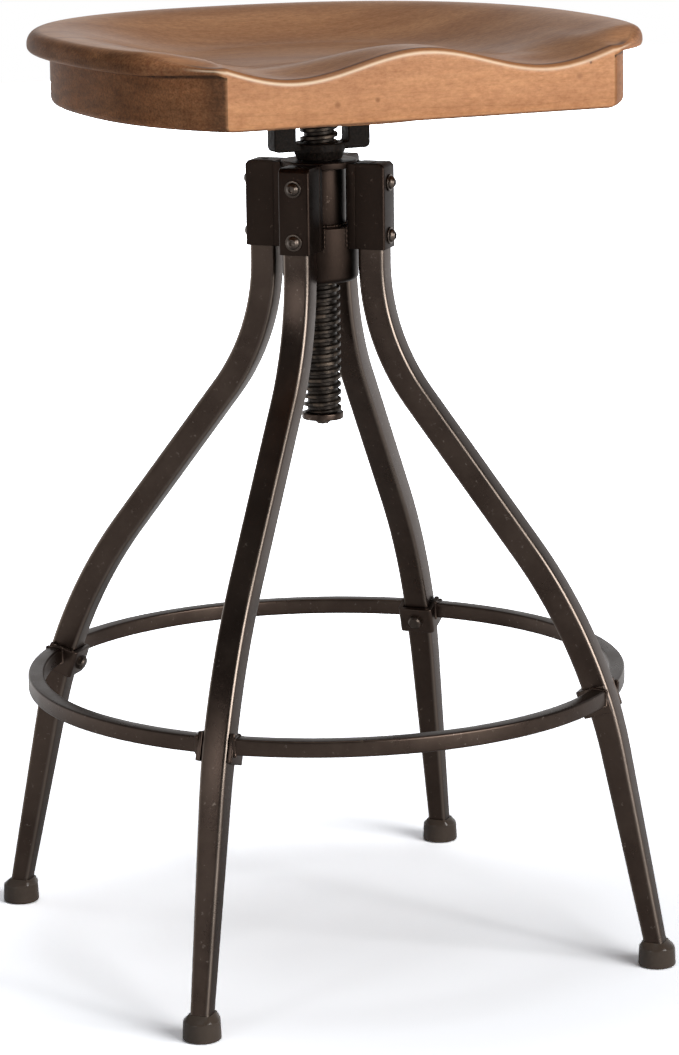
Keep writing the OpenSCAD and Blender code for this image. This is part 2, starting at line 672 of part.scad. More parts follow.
module ring_bolts() {
    color(steel) for (a = LEG_ANGLES) rotate([0, 0, a]) at_ring_bolt() {
        translate([0, 0, -ring_head_h]) cylinder(d = 10 / cos(30), h = ring_head_h, $fn = 6);
        translate([0, 0, -0.01]) cylinder(r = bolt_r, h = saddle_t + insert_l - 2);
    }
}

// Threaded inserts in the legs' inner walls
module leg_inserts() {
    color(steel) for (a = LEG_ANGLES) rotate([0, 0, a]) at_ring_bolt()
        translate([0, 0, saddle_t + seat_gap]) difference() {
            cylinder(r = insert_r, h = insert_l);
            translate([0, 0, -cut]) cylinder(r = bolt_r + thread_gap, h = insert_l + 2 * cut);
        }
}

// Slanted pocket that follows the leg's end, run on past the cap's floor and top
module foot_pocket() {
    run = 1.5 * foot_h;
    translate([leg_p5[0], 0, leg_p5[1]]) rotate([0, -slant_lower, 0]) hull() for (z = [-foot_floor, run])
        translate([0, 0, z]) linear_extrude(0.01)
            round_square(leg_w_at(leg_p5[1] + z * cos(slant_lower)) + 2 * seat_gap, leg_round);
}

// Round cap on a leg's end: rounded shoulder, straight skirt, pocket for the leg
module foot(angle) {
    cap_r = foot_d / 2;
    edge_r = 1;
    color(plastic) rotate([0, 0, angle]) difference() {
        translate([foot_r, 0, 0]) rotate_extrude() {
            translate([0, edge_r]) square([cap_r, foot_h - foot_round - edge_r]);
            square([cap_r - edge_r, edge_r]);
            square([cap_r - foot_round, foot_h]);
            translate([cap_r - edge_r, edge_r]) circle(r = edge_r, $fn = 24);
            translate([cap_r - foot_round, foot_h - foot_round]) circle(r = foot_round);
        }
        intersection() {
            foot_pocket();
            translate([foot_r - foot_d, -foot_d, foot_floor]) cube([2 * foot_d, 2 * foot_d, foot_h]);
        }
    }
}

seat();
seat_disc();
seat_screws();
yoke();
screw();
end_bolt();
stop_washer();
hub_cap();
hub_tube();
nut_body();
socket(FRONT_RIGHT);  // socket_front_right
socket(REAR_RIGHT);  // socket_rear_right
socket(REAR_LEFT);  // socket_rear_left
socket(FRONT_LEFT);  // socket_front_left
leg(FRONT_RIGHT);  // leg_front_right
leg(REAR_RIGHT);  // leg_rear_right
leg(REAR_LEFT);  // leg_rear_left
leg(FRONT_LEFT);  // leg_front_left
socket_bolts();
socket_washers();
ring(FRONT_RIGHT);  // ring_right
ring(REAR_RIGHT);  // ring_rear
ring(REAR_LEFT);  // ring_left
ring(FRONT_LEFT);  // ring_front
saddle(FRONT_RIGHT);  // saddle_front_right
saddle(REAR_RIGHT);  // saddle_rear_right
saddle(REAR_LEFT);  // saddle_rear_left
saddle(FRONT_LEFT);  // saddle_front_left
ring_bolts();
leg_inserts();
foot(FRONT_RIGHT);  // foot_front_right
foot(REAR_RIGHT);  // foot_rear_right
foot(REAR_LEFT);  // foot_rear_left
foot(FRONT_LEFT);  // foot_front_left
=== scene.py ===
import math

import bmesh
import bpy
import numpy as np
from mathutils import Matrix, Vector


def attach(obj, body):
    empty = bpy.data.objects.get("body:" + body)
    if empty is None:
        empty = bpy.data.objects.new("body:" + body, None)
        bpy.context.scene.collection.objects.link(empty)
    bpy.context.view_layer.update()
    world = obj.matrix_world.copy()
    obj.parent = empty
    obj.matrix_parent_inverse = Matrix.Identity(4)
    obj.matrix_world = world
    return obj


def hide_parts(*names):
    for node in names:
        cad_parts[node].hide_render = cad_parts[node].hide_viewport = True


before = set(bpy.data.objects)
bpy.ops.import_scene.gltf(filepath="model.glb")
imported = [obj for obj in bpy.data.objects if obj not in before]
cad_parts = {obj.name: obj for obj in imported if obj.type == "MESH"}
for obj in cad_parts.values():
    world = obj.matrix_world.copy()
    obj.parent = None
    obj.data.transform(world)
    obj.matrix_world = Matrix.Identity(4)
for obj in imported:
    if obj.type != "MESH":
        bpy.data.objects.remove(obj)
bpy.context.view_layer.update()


# ---- Hub -----------------------------------------------------------------------------------------
# A steel tube between a round top plate and a thick nut body, welded together and painted in a dark
# bronze. The screw runs in the nut body's thread and slides in the plate's bore.

hub_radius = 28.0
hub_bottom, nut_top, plate_bottom, hub_top = 504.0, 545.0, 588.0, 593.0
hub_bore = 14.08
tube_radius = 19.2
tube_bore = 14.8
# These three colours are the legs' bronze paint made less than half as bright: painted shade on the hub and
# sockets under the seat.
HUB_SHADED_DARK = (0.025, 0.0172, 0.0138, 1)
HUB_SHADED_LIGHT = (0.044, 0.0305, 0.0242, 1)
HUB_SHADED_WORN = (0.14, 0.105, 0.085, 1)


def grid_faces(rows, columns, around=True, along=False):
    """Quads of a grid of points: each joins a point, the next one in its row, and the two above
    them. around closes every row into a ring, and along joins the last row to the first."""
    row, column = np.meshgrid(np.arange(rows if along else rows - 1),
                              np.arange(columns if around else columns - 1), indexing="ij")
    below, above, right = row * columns, (row + 1) % rows * columns, (column + 1) % columns
    return np.stack([below + column, below + right, above + right, above + column], -1).reshape(-1, 4)


def rounded(corners, radii, steps=6):
    """Closed outline through corners, each replaced by the arc of its own radius that touches both
    of its sides. The arc's points are its two ends' directions from its centre, mixed by sines."""
    corners = np.asarray(corners, float)
    radii = np.broadcast_to(np.asarray(radii, float), len(corners))[:, None]
    before, after = np.roll(corners, 1, axis=0) - corners, np.roll(corners, -1, axis=0) - corners
    before /= np.linalg.norm(before, axis=1)[:, None]
    after /= np.linalg.norm(after, axis=1)[:, None]
    half = np.arccos(np.clip((before * after).sum(1), -1, 1))[:, None] / 2
    middle = (before + after) / np.linalg.norm(before + after, axis=1)[:, None]
    centre = corners + middle * radii / np.sin(half)
    start = corners + before * radii / np.tan(half) - centre
    end = corners + after * radii / np.tan(half) - centre
    sweep, share = (math.pi - 2 * half)[:, None], np.linspace(0, 1, steps)[None, :, None]
    arcs = (start[:, None] * np.sin((1 - share) * sweep) + end[:, None] * np.sin(share * sweep))
    return (centre[:, None] + arcs / np.sin(sweep)).reshape(-1, 2)


def rectangle(left, right, low, high, radii, steps=6):
    """Closed outline of a rectangle with round corners, from the lower left one round."""
    return rounded([(left, low), (right, low), (right, high), (left, high)], radii, steps)


def full_turn(steps):
    """Angles in equal steps round a full turn."""
    return np.linspace(0, 2 * math.pi, steps, endpoint=False)


def polar(radius, angle, height):
    """Points round the Z axis: radius times the cosine and the sine of the angle, and the height."""
    return np.stack(np.broadcast_arrays(radius * np.cos(angle), radius * np.sin(angle), height), -1)


def turned(profile, steps=96):
    """A profile of [radius, height] carried round the Z axis."""
    radius, height = np.asarray(profile, float).T[..., None]
    return polar(radius, full_turn(steps), height)


def turned_ring(profile, steps=96):
    """The shell of a closed profile that stays away from the Z axis."""
    return turned(profile, steps), grid_faces(len(profile), steps, along=True)


def spun(points, degrees):
    """The points turned by an angle round the Z axis."""
    c, s = math.cos(math.radians(degrees)), math.sin(math.radians(degrees))
    return points @ np.array([[c, s, 0], [-s, c, 0], [0, 0, 1]])


def placed(name, data):
    """A new object with its data, put in the scene."""
    made = bpy.data.objects.new(name, data)
    bpy.context.scene.collection.objects.link(made)
    return made


def piece(name, grids, body, material, nodes=(), sharp=38, marks=None):
    """One mesh from several closed shells: grids holds (points in mm, faces). Doubles are merged,
    it is shaded smooth except over edges sharper than the given angle, and it stands on a CAD
    body in place of CAD nodes. marks holds one value a point, for the material."""
    counts = [len(np.reshape(points, (-1, 3))) for points, faces in grids]
    starts = np.concatenate([[0], np.cumsum(counts)[:-1]])
    points = np.concatenate([np.reshape(points, (-1, 3)) for points, faces in grids]) / 1000
    polygons = [face for (_, faces), start in zip(grids, starts)
                for face in (np.asarray(faces) + start if isinstance(faces, np.ndarray)
                             else [[i + start for i in f] for f in faces])]
    mesh = bpy.data.meshes.new(name)
    mesh.from_pydata(points.tolist(), [], [[int(i) for i in f] for f in polygons])
    for key, values in (marks or {}).items():
        mesh.attributes.new(key, "FLOAT", "POINT").data.foreach_set(
            "value", np.asarray(values, np.float32).ravel())
    shell = bmesh.new()
    shell.from_mesh(mesh)
    bmesh.ops.remove_doubles(shell, verts=shell.verts, dist=2e-6)
    bmesh.ops.dissolve_degenerate(shell, edges=shell.edges, dist=1e-6)
    bmesh.ops.recalc_face_normals(shell, faces=shell.faces)
    shell.to_mesh(mesh)
    shell.free()
    mesh.shade_smooth()
    mesh.set_sharp_from_angle(angle=math.radians(sharp))
    made = placed(name, mesh)
    mesh.materials.append(material)
    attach(made, body)
    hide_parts(*nodes)


def node_tools(tree):
    """Three ways to fill a node tree: add(kind, sockets) makes a node with its sockets set,
    ramp(source, stops) makes a colour ramp, and put(node, sockets) sets the sockets of a node. A
    socket given as (node, output) is linked."""
    def put(node, sockets):
        for key, value in sockets.items():
            if isinstance(value, tuple) and isinstance(value[0], bpy.types.Node):
                tree.links.new(value[0].outputs[value[1]], node.inputs[key])
            else:
                node.inputs[key].default_value = value

    def add(kind, sockets=None, **settings):
        node = tree.nodes.new("ShaderNode" + kind)
        for key, value in settings.items():
            setattr(node, key, value)
        put(node, sockets or {})
        return node

    def ramp(source, *stops):
        node = add("ValToRGB", {0: source})
        while len(node.color_ramp.elements) < len(stops):
            node.color_ramp.elements.new(0.5)
        for element, (place, colour) in zip(node.color_ramp.elements, stops):
            element.position = place
            element.color = colour if isinstance(colour, tuple) else (colour, colour, colour, 1)
        return node

    return add, ramp, put


def finish_named(name):
    """A new material, its shader and the tools of its node tree."""
    material = bpy.data.materials.new(name)
    material.use_nodes = True
    return (material, material.node_tree.nodes["Principled BSDF"], *node_tools(material.node_tree))


def painted(name, dark, light, worn_and_highlight, rough, metal=1.0):
    """Satin paint over steel: cloudy tone, fine orange-peel bump and lighter scuffed spots. The point
    mark 'corner', where a piece has it, lightens its long corners with the same colour too: scuffed
    paint there, and a painted highlight."""
    material, shader, add, ramp, put = finish_named(name)
    place = add("TexCoord")
    cloud = add("TexNoise", {"Vector": (place, "Object"), "Scale": 22.0, "Detail": 5.0, "Roughness": 0.6})
    tone = ramp((cloud, "Fac"), (0.32, dark), (0.7, light))
    rub = add("TexNoise", {"Vector": (place, "Object"), "Scale": 240.0, "Detail": 6.0, "Roughness": 0.7})
    spots = ramp((rub, "Fac"), (0.62, 0.0), (0.74, 1.0))
    corner = add("Attribute", attribute_name="corner")
    worn_and_highlit_share = add("Math", {0: (spots, 0), 1: (corner, "Fac")}, operation="MAXIMUM")
    colour = add("MixRGB", {0: (worn_and_highlit_share, 0), 1: (tone, 0), 2: worn_and_highlight})
    peel = add("TexNoise", {"Vector": (place, "Object"), "Scale": 1500.0, "Detail": 3.0})
    both = add("MixRGB", {0: 0.35, 1: (peel, "Fac"), 2: (rub, "Fac")})
    bump = add("Bump", {"Strength": 0.16, "Distance": 0.0004, "Height": (both, 0)})
    satin = add("MapRange", {"Value": (cloud, "Fac"), 1: 0.3, 2: 0.72, 3: rough - 0.07, 4: rough + 0.1})
    put(shader, {"Base Color": (colour, 0), "Roughness": (satin, 0), "Normal": (bump, 0),
                 "Metallic": metal, "Specular IOR Level": 0.5})
    return material


# A darker copy of the bronze paint: painted shade for all the parts under the seat.
shaded_hub_paint = painted("shaded_hub_paint", HUB_SHADED_DARK, HUB_SHADED_LIGHT, HUB_SHADED_WORN, 0.42)

plate = rectangle(hub_bore, hub_radius, plate_bottom, hub_top, [0.4, 0.6, 0.9, 0.7])
piece("hub_plate", [turned_ring(plate)], "base", shaded_hub_paint, ["hub_cap"])
middle = rectangle(tube_bore, tube_radius, nut_top, plate_bottom, 0.1, 3)
piece("hub_middle_tube", [turned_ring(middle)], "base", shaded_hub_paint, ["hub_tube"])

# The weld under the tube is a closed circle carried round, which swells and shrinks by two sines.
weld_radius, weld_out, weld_up = 1.3, 0.5, 0.4
around, curl = full_turn(240), full_turn(12)[:, None]
puddle = weld_radius * (1 + 0.16 * np.sin(around * 46) + 0.08 * np.sin(around * 17))
weld = polar(tube_radius + weld_out + puddle * np.cos(curl), around,
             nut_top + weld_up + puddle * np.sin(curl))
piece("hub_weld", [(weld, grid_faces(12, 240, along=True))], "base", shaded_hub_paint, sharp=60)

nut = rectangle(hub_bore, hub_radius, hub_bottom, nut_top, [1.2, 4.0, 1.3, 0.2], 9)
piece("hub_nut", [turned_ring(nut)], "base", shaded_hub_paint, ["nut_body"])


# ---- Leg sockets ---------------------------------------------------------------------------------
# Four boxes folded from 1.8 mm sheet, open below for the leg and closed on top but for a drain
# hole. The sides run in to the hub and are welded to it.

LEG_ANGLES = {"front_right": -45, "rear_right": 45, "rear_left": 135, "front_left": 225}
sheet = 1.8
socket_in, socket_out, socket_half = 30.6, 54.5, 11.95
socket_bottom, socket_top = 529.0, 592.0
leg_radius = 42.55
socket_chamfer = 2.6
drain_radius = 2.5
wing_in, wing_out = 25.9, 31.8


def box_loop(inner, outer, half, height, radius, steps=6):
    """Level loop of a box with round corners between two distances from the hub's axis, half wide
    on each side."""
    outline = rectangle(inner, outer, -half, half, radius, steps)
    return np.column_stack([outline, np.full(len(outline), height)])


def hole_loop(radius, height, count):
    """Level circle in the box's top with as many points as its loops, starting at the same corner."""
    return polar(radius, full_turn(count) - math.pi, height) + [leg_radius, 0, 0]


loop_count = len(box_loop(0, 10, 4, 0, 1))
box_rings = np.stack([
    box_loop(socket_in + sheet, socket_out - sheet, socket_half - sheet, socket_bottom + 0.3, 0.7),
    box_loop(socket_in + sheet, socket_out - sheet, socket_half - sheet, socket_top - sheet, 0.7),
    hole_loop(drain_radius + 0.2, socket_top - sheet, loop_count),
    hole_loop(drain_radius, socket_top - 0.3, loop_count),
    hole_loop(drain_radius + 0.3, socket_top, loop_count),
    box_loop(socket_in + 0.3, socket_out - socket_chamfer - 0.2, socket_half - 0.9, socket_top, 1.2),
    box_loop(socket_in + 0.1, socket_out - socket_chamfer + 0.3, socket_half - 0.35, socket_top - 0.3, 1.6),
    box_loop(socket_in, socket_out - 0.5, socket_half - 0.03, socket_top - 2.2, 2.0),
    box_loop(socket_in, socket_out, socket_half, socket_top - 3.2, 2.0),
    box_loop(socket_in, socket_out, socket_half, socket_bottom + 0.3, 2.0),
    box_loop(socket_in + 0.3, socket_out - 0.3, socket_half - 0.3, socket_bottom, 1.8),
    box_loop(socket_in + sheet - 0.3, socket_out - sheet + 0.3, socket_half - sheet + 0.3,
             socket_bottom, 0.9)])
wing = rectangle(wing_in, wing_out, socket_bottom, socket_top - 0.4, 0.4, 3)


def tube_faces(rows, columns):
    """Quads of a grid whose rows are closed rings, and one face over each of its two ends."""
    first = np.arange(columns)
    return [list(f) for f in grid_faces(rows, columns)] + [first, first[::-1] + (rows - 1) * columns]


def slab(outline, low, high, edge=0.3, steps=4):
    """An upright outline in the XZ plane carried along Y from low to high: its points are drawn in
    towards their middle by one minus the sine where the edge rounds, and both ends are closed."""
    turn = np.linspace(0, math.pi / 2, steps)
    drawn = np.concatenate([edge * (1 - np.sin(turn)), edge * (1 - np.sin(turn[::-1]))])
    depth = np.concatenate([low + edge * (1 - np.cos(turn)), high - edge * (1 - np.cos(turn[::-1]))])
    ahead, behind = np.roll(outline, -1, axis=0), np.roll(outline, 1, axis=0)
    tangent = ahead - behind
    tangent /= np.maximum(np.linalg.norm(tangent, axis=1), 1e-9)[:, None]
    inward = np.column_stack([-tangent[:, 1], tangent[:, 0]])
    flat = outline[None] + inward[None] * drawn[:, None, None]
    points = np.stack([flat[..., 0], np.repeat(depth[:, None], len(outline), axis=1), flat[..., 1]], -1)
    return points, tube_faces(len(drawn), len(outline))


def bead(path, out, up, radius, sides=12):
    """A run of weld along a path: a closed circle of the given radius carried along it, swelling
    and shrinking a little with the sine of the length, as overlapping puddles do. It thins out
    towards both ends by the sine of its share of the way."""
    length = np.concatenate([[0], np.cumsum(np.linalg.norm(np.diff(path, axis=0), axis=1))])
    size = radius * (1 + 0.12 * np.sin(length / radius * 2.1))
    size *= np.clip(np.sin(np.linspace(0, math.pi, len(path))) * 6, 0.02, 1)
    angle = full_turn(sides)[None, :, None]
    ring = out[:, None] * np.cos(angle) + up[:, None] * np.sin(angle)
    return path[:, None] + ring * size[:, None, None], tube_faces(len(path), sides)


def at_each_leg(name, shells, material, node, marks=None):
    """The same piece at each of the four legs: its shells turned round the Z axis."""
    for corner, angle in LEG_ANGLES.items():
        piece(name + corner, [(spun(points, angle), faces) for points, faces in shells], "base",
              material, [node + corner], marks=marks)


shells = [(box_rings, grid_faces(len(box_rings), loop_count, along=True))]
weld_steps = 60
weld_foot = math.sqrt((hub_radius - 0.2) ** 2 - (socket_half + 0.5) ** 2)
weld_rise = np.linspace(socket_bottom + 1, nut_top + 1, weld_steps)
for side in (-1, 1):
    low, high = sorted((side * socket_half, side * (socket_half - sheet)))
    shells.append(slab(wing, low, high))
    line = np.column_stack([np.full(weld_steps, weld_foot),
                            np.full(weld_steps, side * (socket_half + 0.3)), weld_rise])
    outwards, sideways = np.array([[0.6, 0.8 * side, 0], [-0.8, 0.6 * side, 0]])
    shells.append(bead(line, np.tile(outwards, (weld_steps, 1)), np.tile(sideways, (weld_steps, 1)), 1.2))
at_each_leg("leg_socket_", shells, shaded_hub_paint, "socket_")


# ---- Legs ----------------------------------------------------------------------------------------
# Four 20 mm square steel tubes with round corners, painted bronze. Each drops straight out of its
# socket, sweeps out in one bend and back towards the vertical in a wider one, and tapers below the
# foot ring.

leg_top, leg_end = 590.05, 4.0
bend_upper, bend_lower = 163.0, 375.0
slant_upper, slant_lower = math.radians(37.3), math.radians(12.0)
slant_length, top_length = 137.0, 72.0
lower_centre = np.array([-139.39, 83.04])
leg_width, foot_width, taper_top, leg_rounding = 20.0, 14.0, 200.0, 3.0
PAINT_DARK = (0.068, 0.048, 0.039, 1)
PAINT_LIGHT = (0.106, 0.078, 0.063, 1)
# The lighter colour serves the paint's scuffed spots and the painted highlight along the legs' corners.
PAINT_WORN_AND_HIGHLIGHT = (0.29, 0.24, 0.205, 1)
bronze_paint = painted("bronze_paint", PAINT_DARK, PAINT_LIGHT, PAINT_WORN_AND_HIGHLIGHT, 0.3)


def leg_axis():
    """Stations down a leg as distance from the hub's axis, height and slant: a straight, an arc
    that leans out, a straight, an arc that leans back and a last straight."""
    turn = np.linspace(0, slant_upper, 40)
    upper = np.column_stack([leg_radius + bend_upper * (1 - np.cos(turn)),
                             leg_top - top_length - bend_upper * np.sin(turn), turn])
    run = np.linspace(0, slant_length, 14)[1:-1]
    middle = np.column_stack([upper[-1, 0] + run * math.sin(slant_upper),
                              upper[-1, 1] - run * math.cos(slant_upper), np.full(12, slant_upper)])
    turn = np.linspace(slant_upper, slant_lower, 56)
    lower = np.column_stack([lower_centre[0] + bend_lower * np.cos(turn),
                             lower_centre[1] + bend_lower * np.sin(turn), turn])
    height = np.linspace(lower[-1, 1], leg_end, 24)[1:]
    last = np.column_stack([lower[-1, 0] + (lower[-1, 1] - height) * math.tan(slant_lower), height,
                            np.full(23, slant_lower)])
    first = np.array([[leg_radius, leg_top, 0.0], [leg_radius, leg_top - 30, 0.0]])
    return np.concatenate([first, upper, middle, lower, last])


def square_section(width, radius, steps=7):
    """Square with round corners: each corner's centre plus its radius times the arc's direction.
    width may be an array, for a row of sections."""
    quarter = np.repeat(np.arange(4), steps)
    angle = quarter * math.pi / 2 + np.tile(np.linspace(0, math.pi / 2, steps), 4)
    centre = np.asarray(width, float)[..., None] / 2 - radius
    across = centre * np.where((quarter == 0) | (quarter == 3), 1, -1) + radius * np.cos(angle)
    side = centre * np.where(quarter < 2, 1, -1) + radius * np.sin(angle)
    return across, side


axis_x, axis_z, slant = leg_axis().T[..., None]
taper = foot_width + (leg_width - foot_width) * np.minimum(1, axis_z[:, 0] / taper_top)
across, side = square_section(taper, leg_rounding)
leg_points = np.stack([axis_x + across * np.cos(slant), side, axis_z + across * np.sin(slant)], -1)
leg_points[..., 2] = np.maximum(leg_points[..., 2], leg_end)
rows, columns = side.shape
# A lighter line down the middle of each round corner: scuffed paint and a painted highlight.
corner_wear_and_highlight = 0.75 * np.tile(np.sin(np.linspace(0, math.pi, columns // 4)) ** 2, (rows, 4))
at_each_leg("square_leg_", [(leg_points, tube_faces(rows, columns))], bronze_paint,
            "leg_", {"corner": corner_wear_and_highlight})


# ---- Socket bolts and washers --------------------------------------------------------------------
# Eight M6 button-head bolts with hexagon sockets, two through each socket and leg into the hub,
# each on a plain washer. Black steel, a little brighter than the paint where it is rubbed.

bolt_heights = (577.5, 538.5)
washer_out, washer_in, washer_thick = 6.3, 3.2, 1.2
button_radius, button_height, key_half = 4.9, 3.3, 1.75
STEEL_DARK = (0.08, 0.065, 0.055, 1)
STEEL_LIGHT = (0.16, 0.13, 0.11, 1)
STEEL_WORN = (0.3, 0.25, 0.21, 1)
dark_steel = painted("dark_steel", STEEL_DARK, STEEL_LIGHT, STEEL_WORN, 0.3)


def hexagon(half, angle):
    """Radius of a hexagon: half its width across flats over the cosine of the angle to the flat."""
    return half / np.cos((angle + math.pi / 6) % (math.pi / 3) - math.pi / 6)


def button_head(count=72):
    """Button head with its axis along Z, from its flat at 0. Each ring has a share of hexagon, a
    height and a radius: the dome's are circles, and the ones of the key's socket are hexagons."""
    angle = full_turn(count)
    turn = np.linspace(0, math.pi / 2 * 0.86, 9)[:6]
    dome = np.column_stack([np.zeros(6), 0.45 + (button_height - 0.45) * np.sin(turn),
                            button_radius * np.cos(turn) + 0.02])
    rings = np.concatenate([
        [(0, 0, 0), (0, 0, 3.0), (0, 0, button_radius - 0.15), (0, 0.12, button_radius)], dome,
        [(0, 3.26, 2.6), (1, 3.28, 2.05), (1, 3.1, 1.78), (1, 1.5, key_half), (0, 1.1, 0)]])
    hexed, height, radius = rings.T[..., None]
    return polar(radius * np.where(hexed > 0, hexagon(1, angle), 1), angle, height)


def outward(points, distance, height):
    """A part made along Z laid along the leg's outward direction, at a distance and a height."""
    return np.stack([distance + points[..., 2], points[..., 1], height - points[..., 0]], -1)


head = button_head()
washer_points, washer_faces = turned_ring(
    rectangle(washer_in, washer_out, 0, washer_thick, [0.1, 0.3, 0.4, 0.15], 4), 48)
heads, washers = [], []
for angle in LEG_ANGLES.values():
    for height in bolt_heights:
        heads.append((spun(outward(head, socket_out + washer_thick, height), angle),
                      grid_faces(len(head), 72)))
        washers.append((spun(outward(washer_points, socket_out, height), angle), washer_faces))
piece("button_bolts", heads, "base", dark_steel, ["socket_bolts"])
piece("bolt_washers", washers, "base", dark_steel, ["socket_washers"])


# ---- Saddles -------------------------------------------------------------------------------------
# U-shaped steel plates, 3.6 mm thick, that clasp each leg from its inner side. The foot ring's ends
# are welded to their arms, and one bolt holds each to its leg.

ring_height, ring_leg_radius, ring_radius, ring_bar = 205.0, 215.2, 218.4, 12.0
ring_slant = math.radians(18.98)
saddle_inner, saddle_plate = 10.35, 3.6
saddle_outer = saddle_inner + saddle_plate
saddle_front = ring_radius - ring_leg_radius + ring_bar / 2
saddle_low, saddle_high = -14.0, 7.0


def on_slant(points):
    """A part made at the origin, with Z up the leg and X outwards, set on the leg where the ring
    meets it and leaned with it."""
    c, s = math.cos(ring_slant), math.sin(ring_slant)
    return np.stack([ring_leg_radius + points[..., 0] * c - points[..., 2] * s, points[..., 1],
                     ring_height + points[..., 0] * s + points[..., 2] * c], -1)


clasp = rounded([(-saddle_outer, -saddle_outer), (saddle_front, -saddle_outer),
                 (saddle_front, -saddle_inner), (-saddle_inner, -saddle_inner),
                 (-saddle_inner, saddle_inner), (saddle_front, saddle_inner),
                 (saddle_front, saddle_outer), (-saddle_outer, saddle_outer)],
                [3.2, 0.9, 0.8, 0.6, 0.6, 0.8, 0.9, 3.2], 7)
points, clasp_faces = slab(clasp, saddle_low, saddle_high, 0.6)
clasp_points = on_slant(points[..., [0, 2, 1]])
at_each_leg("clasp_", [(clasp_points, clasp_faces)], bronze_paint, "saddle_")


# ---- Foot ring -----------------------------------------------------------------------------------
# Four quarter arcs of 12 mm square bar, rolled to one circle. Each ends on a saddle's arm in a
# weld that fills the corner.

arc_half = math.asin(saddle_outer / ring_radius)
arc_steps = 90
turn = np.linspace(arc_half, math.pi / 2 - arc_half, arc_steps)[:, None]
across, side = square_section(ring_bar, 1.6, 6)
arc_points = polar(ring_radius + across, turn, ring_height + side)


def corner_weld(start, sides=10):
    """The weld between an arc's end and a saddle's arm: a closed circle carried along the bar's
    outline on the arm's face, which swells and shrinks by the sine of the step's number."""
    out, up = square_section(ring_bar + 0.4, 2.0, 10)
    path = polar(ring_radius + out, start, ring_height + up)
    outer = polar(out, start, up) / np.hypot(out, up)[:, None]
    along = np.array([-math.sin(start), math.cos(start), 0])
    angle = full_turn(sides)[None, :, None]
    swell = 1.5 * (1 + 0.14 * np.sin(np.arange(len(path)) * 1.9))[:, None, None]
    points = path[:, None] + swell * (outer[:, None] * np.cos(angle) + along * np.sin(angle))
    return points, grid_faces(len(path), sides, along=True)


shells = [(arc_points, tube_faces(arc_steps, len(side))), corner_weld(arc_half),
          corner_weld(math.pi / 2 - arc_half)]
for name, start in (("right", -45), ("rear", 45), ("left", 135), ("front", 225)):
    piece("ring_arc_" + name, [(spun(points, start), faces) for points, faces in shells], "base",
          bronze_paint, ["ring_" + name])


# ---- Ring bolts ----------------------------------------------------------------------------------
# Steel bolts with hexagon heads, from the ring's inner side through each saddle into a threaded
# insert in the leg. The inserts are inside the legs, so they keep their plain shape.

hex_flats, ring_bolt_height = 10.0, 4.1


def hex_head(flats, height, count=72):
    """Hexagon head along Z from 0: rings with the hexagon's radius, whose corners are cut back to
    a circle near the top, and a slightly domed end of circles."""
    angle = full_turn(count)
    level, share = np.array([(0, 0), (0, 1.0), (height * 0.72, 1.0), (height * 0.88, 0.93), (height, 0.8),
                             (height + 0.25, 0.4), (height + 0.3, 0.0)]).T[..., None]
    limit = flats / 2 * (1.16 - np.maximum(0, level / height - 0.6) * 0.75)
    side = np.minimum(hexagon(flats / 2, angle), limit)
    return polar(np.where(level < height * 0.9, side, flats / 2) * share, angle, level)


bolt = hex_head(hex_flats, ring_bolt_height)
bolt_points = on_slant(np.stack([-saddle_outer - bolt[..., 2], bolt[..., 1],
                                 bolt[..., 0] + (saddle_low + saddle_high) / 2], -1))
bolt_shells = [(spun(bolt_points, angle), grid_faces(len(bolt), 72)) for angle in LEG_ANGLES.values()]
piece("ring_hex_bolts", bolt_shells, "base", dark_steel, ["ring_bolts"])
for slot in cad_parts["leg_inserts"].material_slots:
    slot.material = dark_steel


# ---- Foot caps -----------------------------------------------------------------------------------
# Moulded plastic caps pushed on the legs' ends: a round body that tapers a little, and a sloping
# shoulder that ends in a square mouth round the leg.

PLASTIC_DARK = (0.062, 0.045, 0.034, 1)
PLASTIC_LIGHT = (0.09, 0.067, 0.052, 1)
PLASTIC_WORN = (0.12, 0.094, 0.076, 1)
cap_plastic = painted("cap_plastic", PLASTIC_DARK, PLASTIC_LIGHT, PLASTIC_WORN, 0.17, metal=0.0)
foot_radius, cap_radius, cap_height = 259.2, 14.0, 19.0
mouth_half, body_top, body_radius = 8.5, 14.2, 13.3


def cap_shell(profile, steps=96):
    """The profile of [radius, height] carried round the Z axis. Above the body each radius is also
    divided by the sixth root of |cosine|^6 + |sine|^6, by a smooth share of the height: so the
    round body ends in a square mouth, which is moved inwards with the leaning leg."""
    points = turned(profile, steps)
    angle = full_turn(steps)
    square = (np.abs(np.cos(angle)) ** 6 + np.abs(np.sin(angle)) ** 6) ** (-1 / 6)
    share = np.clip((points[..., 2] - body_top + 1) / (cap_height - body_top), 0, 1)
    share = share * share * (3 - 2 * share)
    points[..., :2] *= (1 + share * (square - 1))[..., None]
    points[..., 0] -= share * cap_height * 0.4 * math.tan(slant_lower)
    return points


cap = rounded([(0.001, 0), (cap_radius, 0), (body_radius, body_top), (mouth_half, cap_height),
               (0.001, cap_height)], [0, 2.0, 2.6, 0.5, 0], 9)[9:-9]
cap = np.concatenate([[(0, 0)], cap, [(0, cap_height)]])
cap_points = cap_shell(cap) + [foot_radius, 0, 0]
at_each_leg("foot_cap_", [(cap_points, grid_faces(len(cap), 96))], cap_plastic, "foot_")


# ---- Lifting screw -------------------------------------------------------------------------------
# A coarse 28 mm steel screw with a 6 mm pitch and a rounded trapezium thread, blackened and greased,
# lighter in places along the crests: scuffed bright there, and a painted highlight.

pitch, thread_depth, screw_radius = 6.0, 2.8, 14.0
screw_bottom, screw_top = 404.8, 620.2


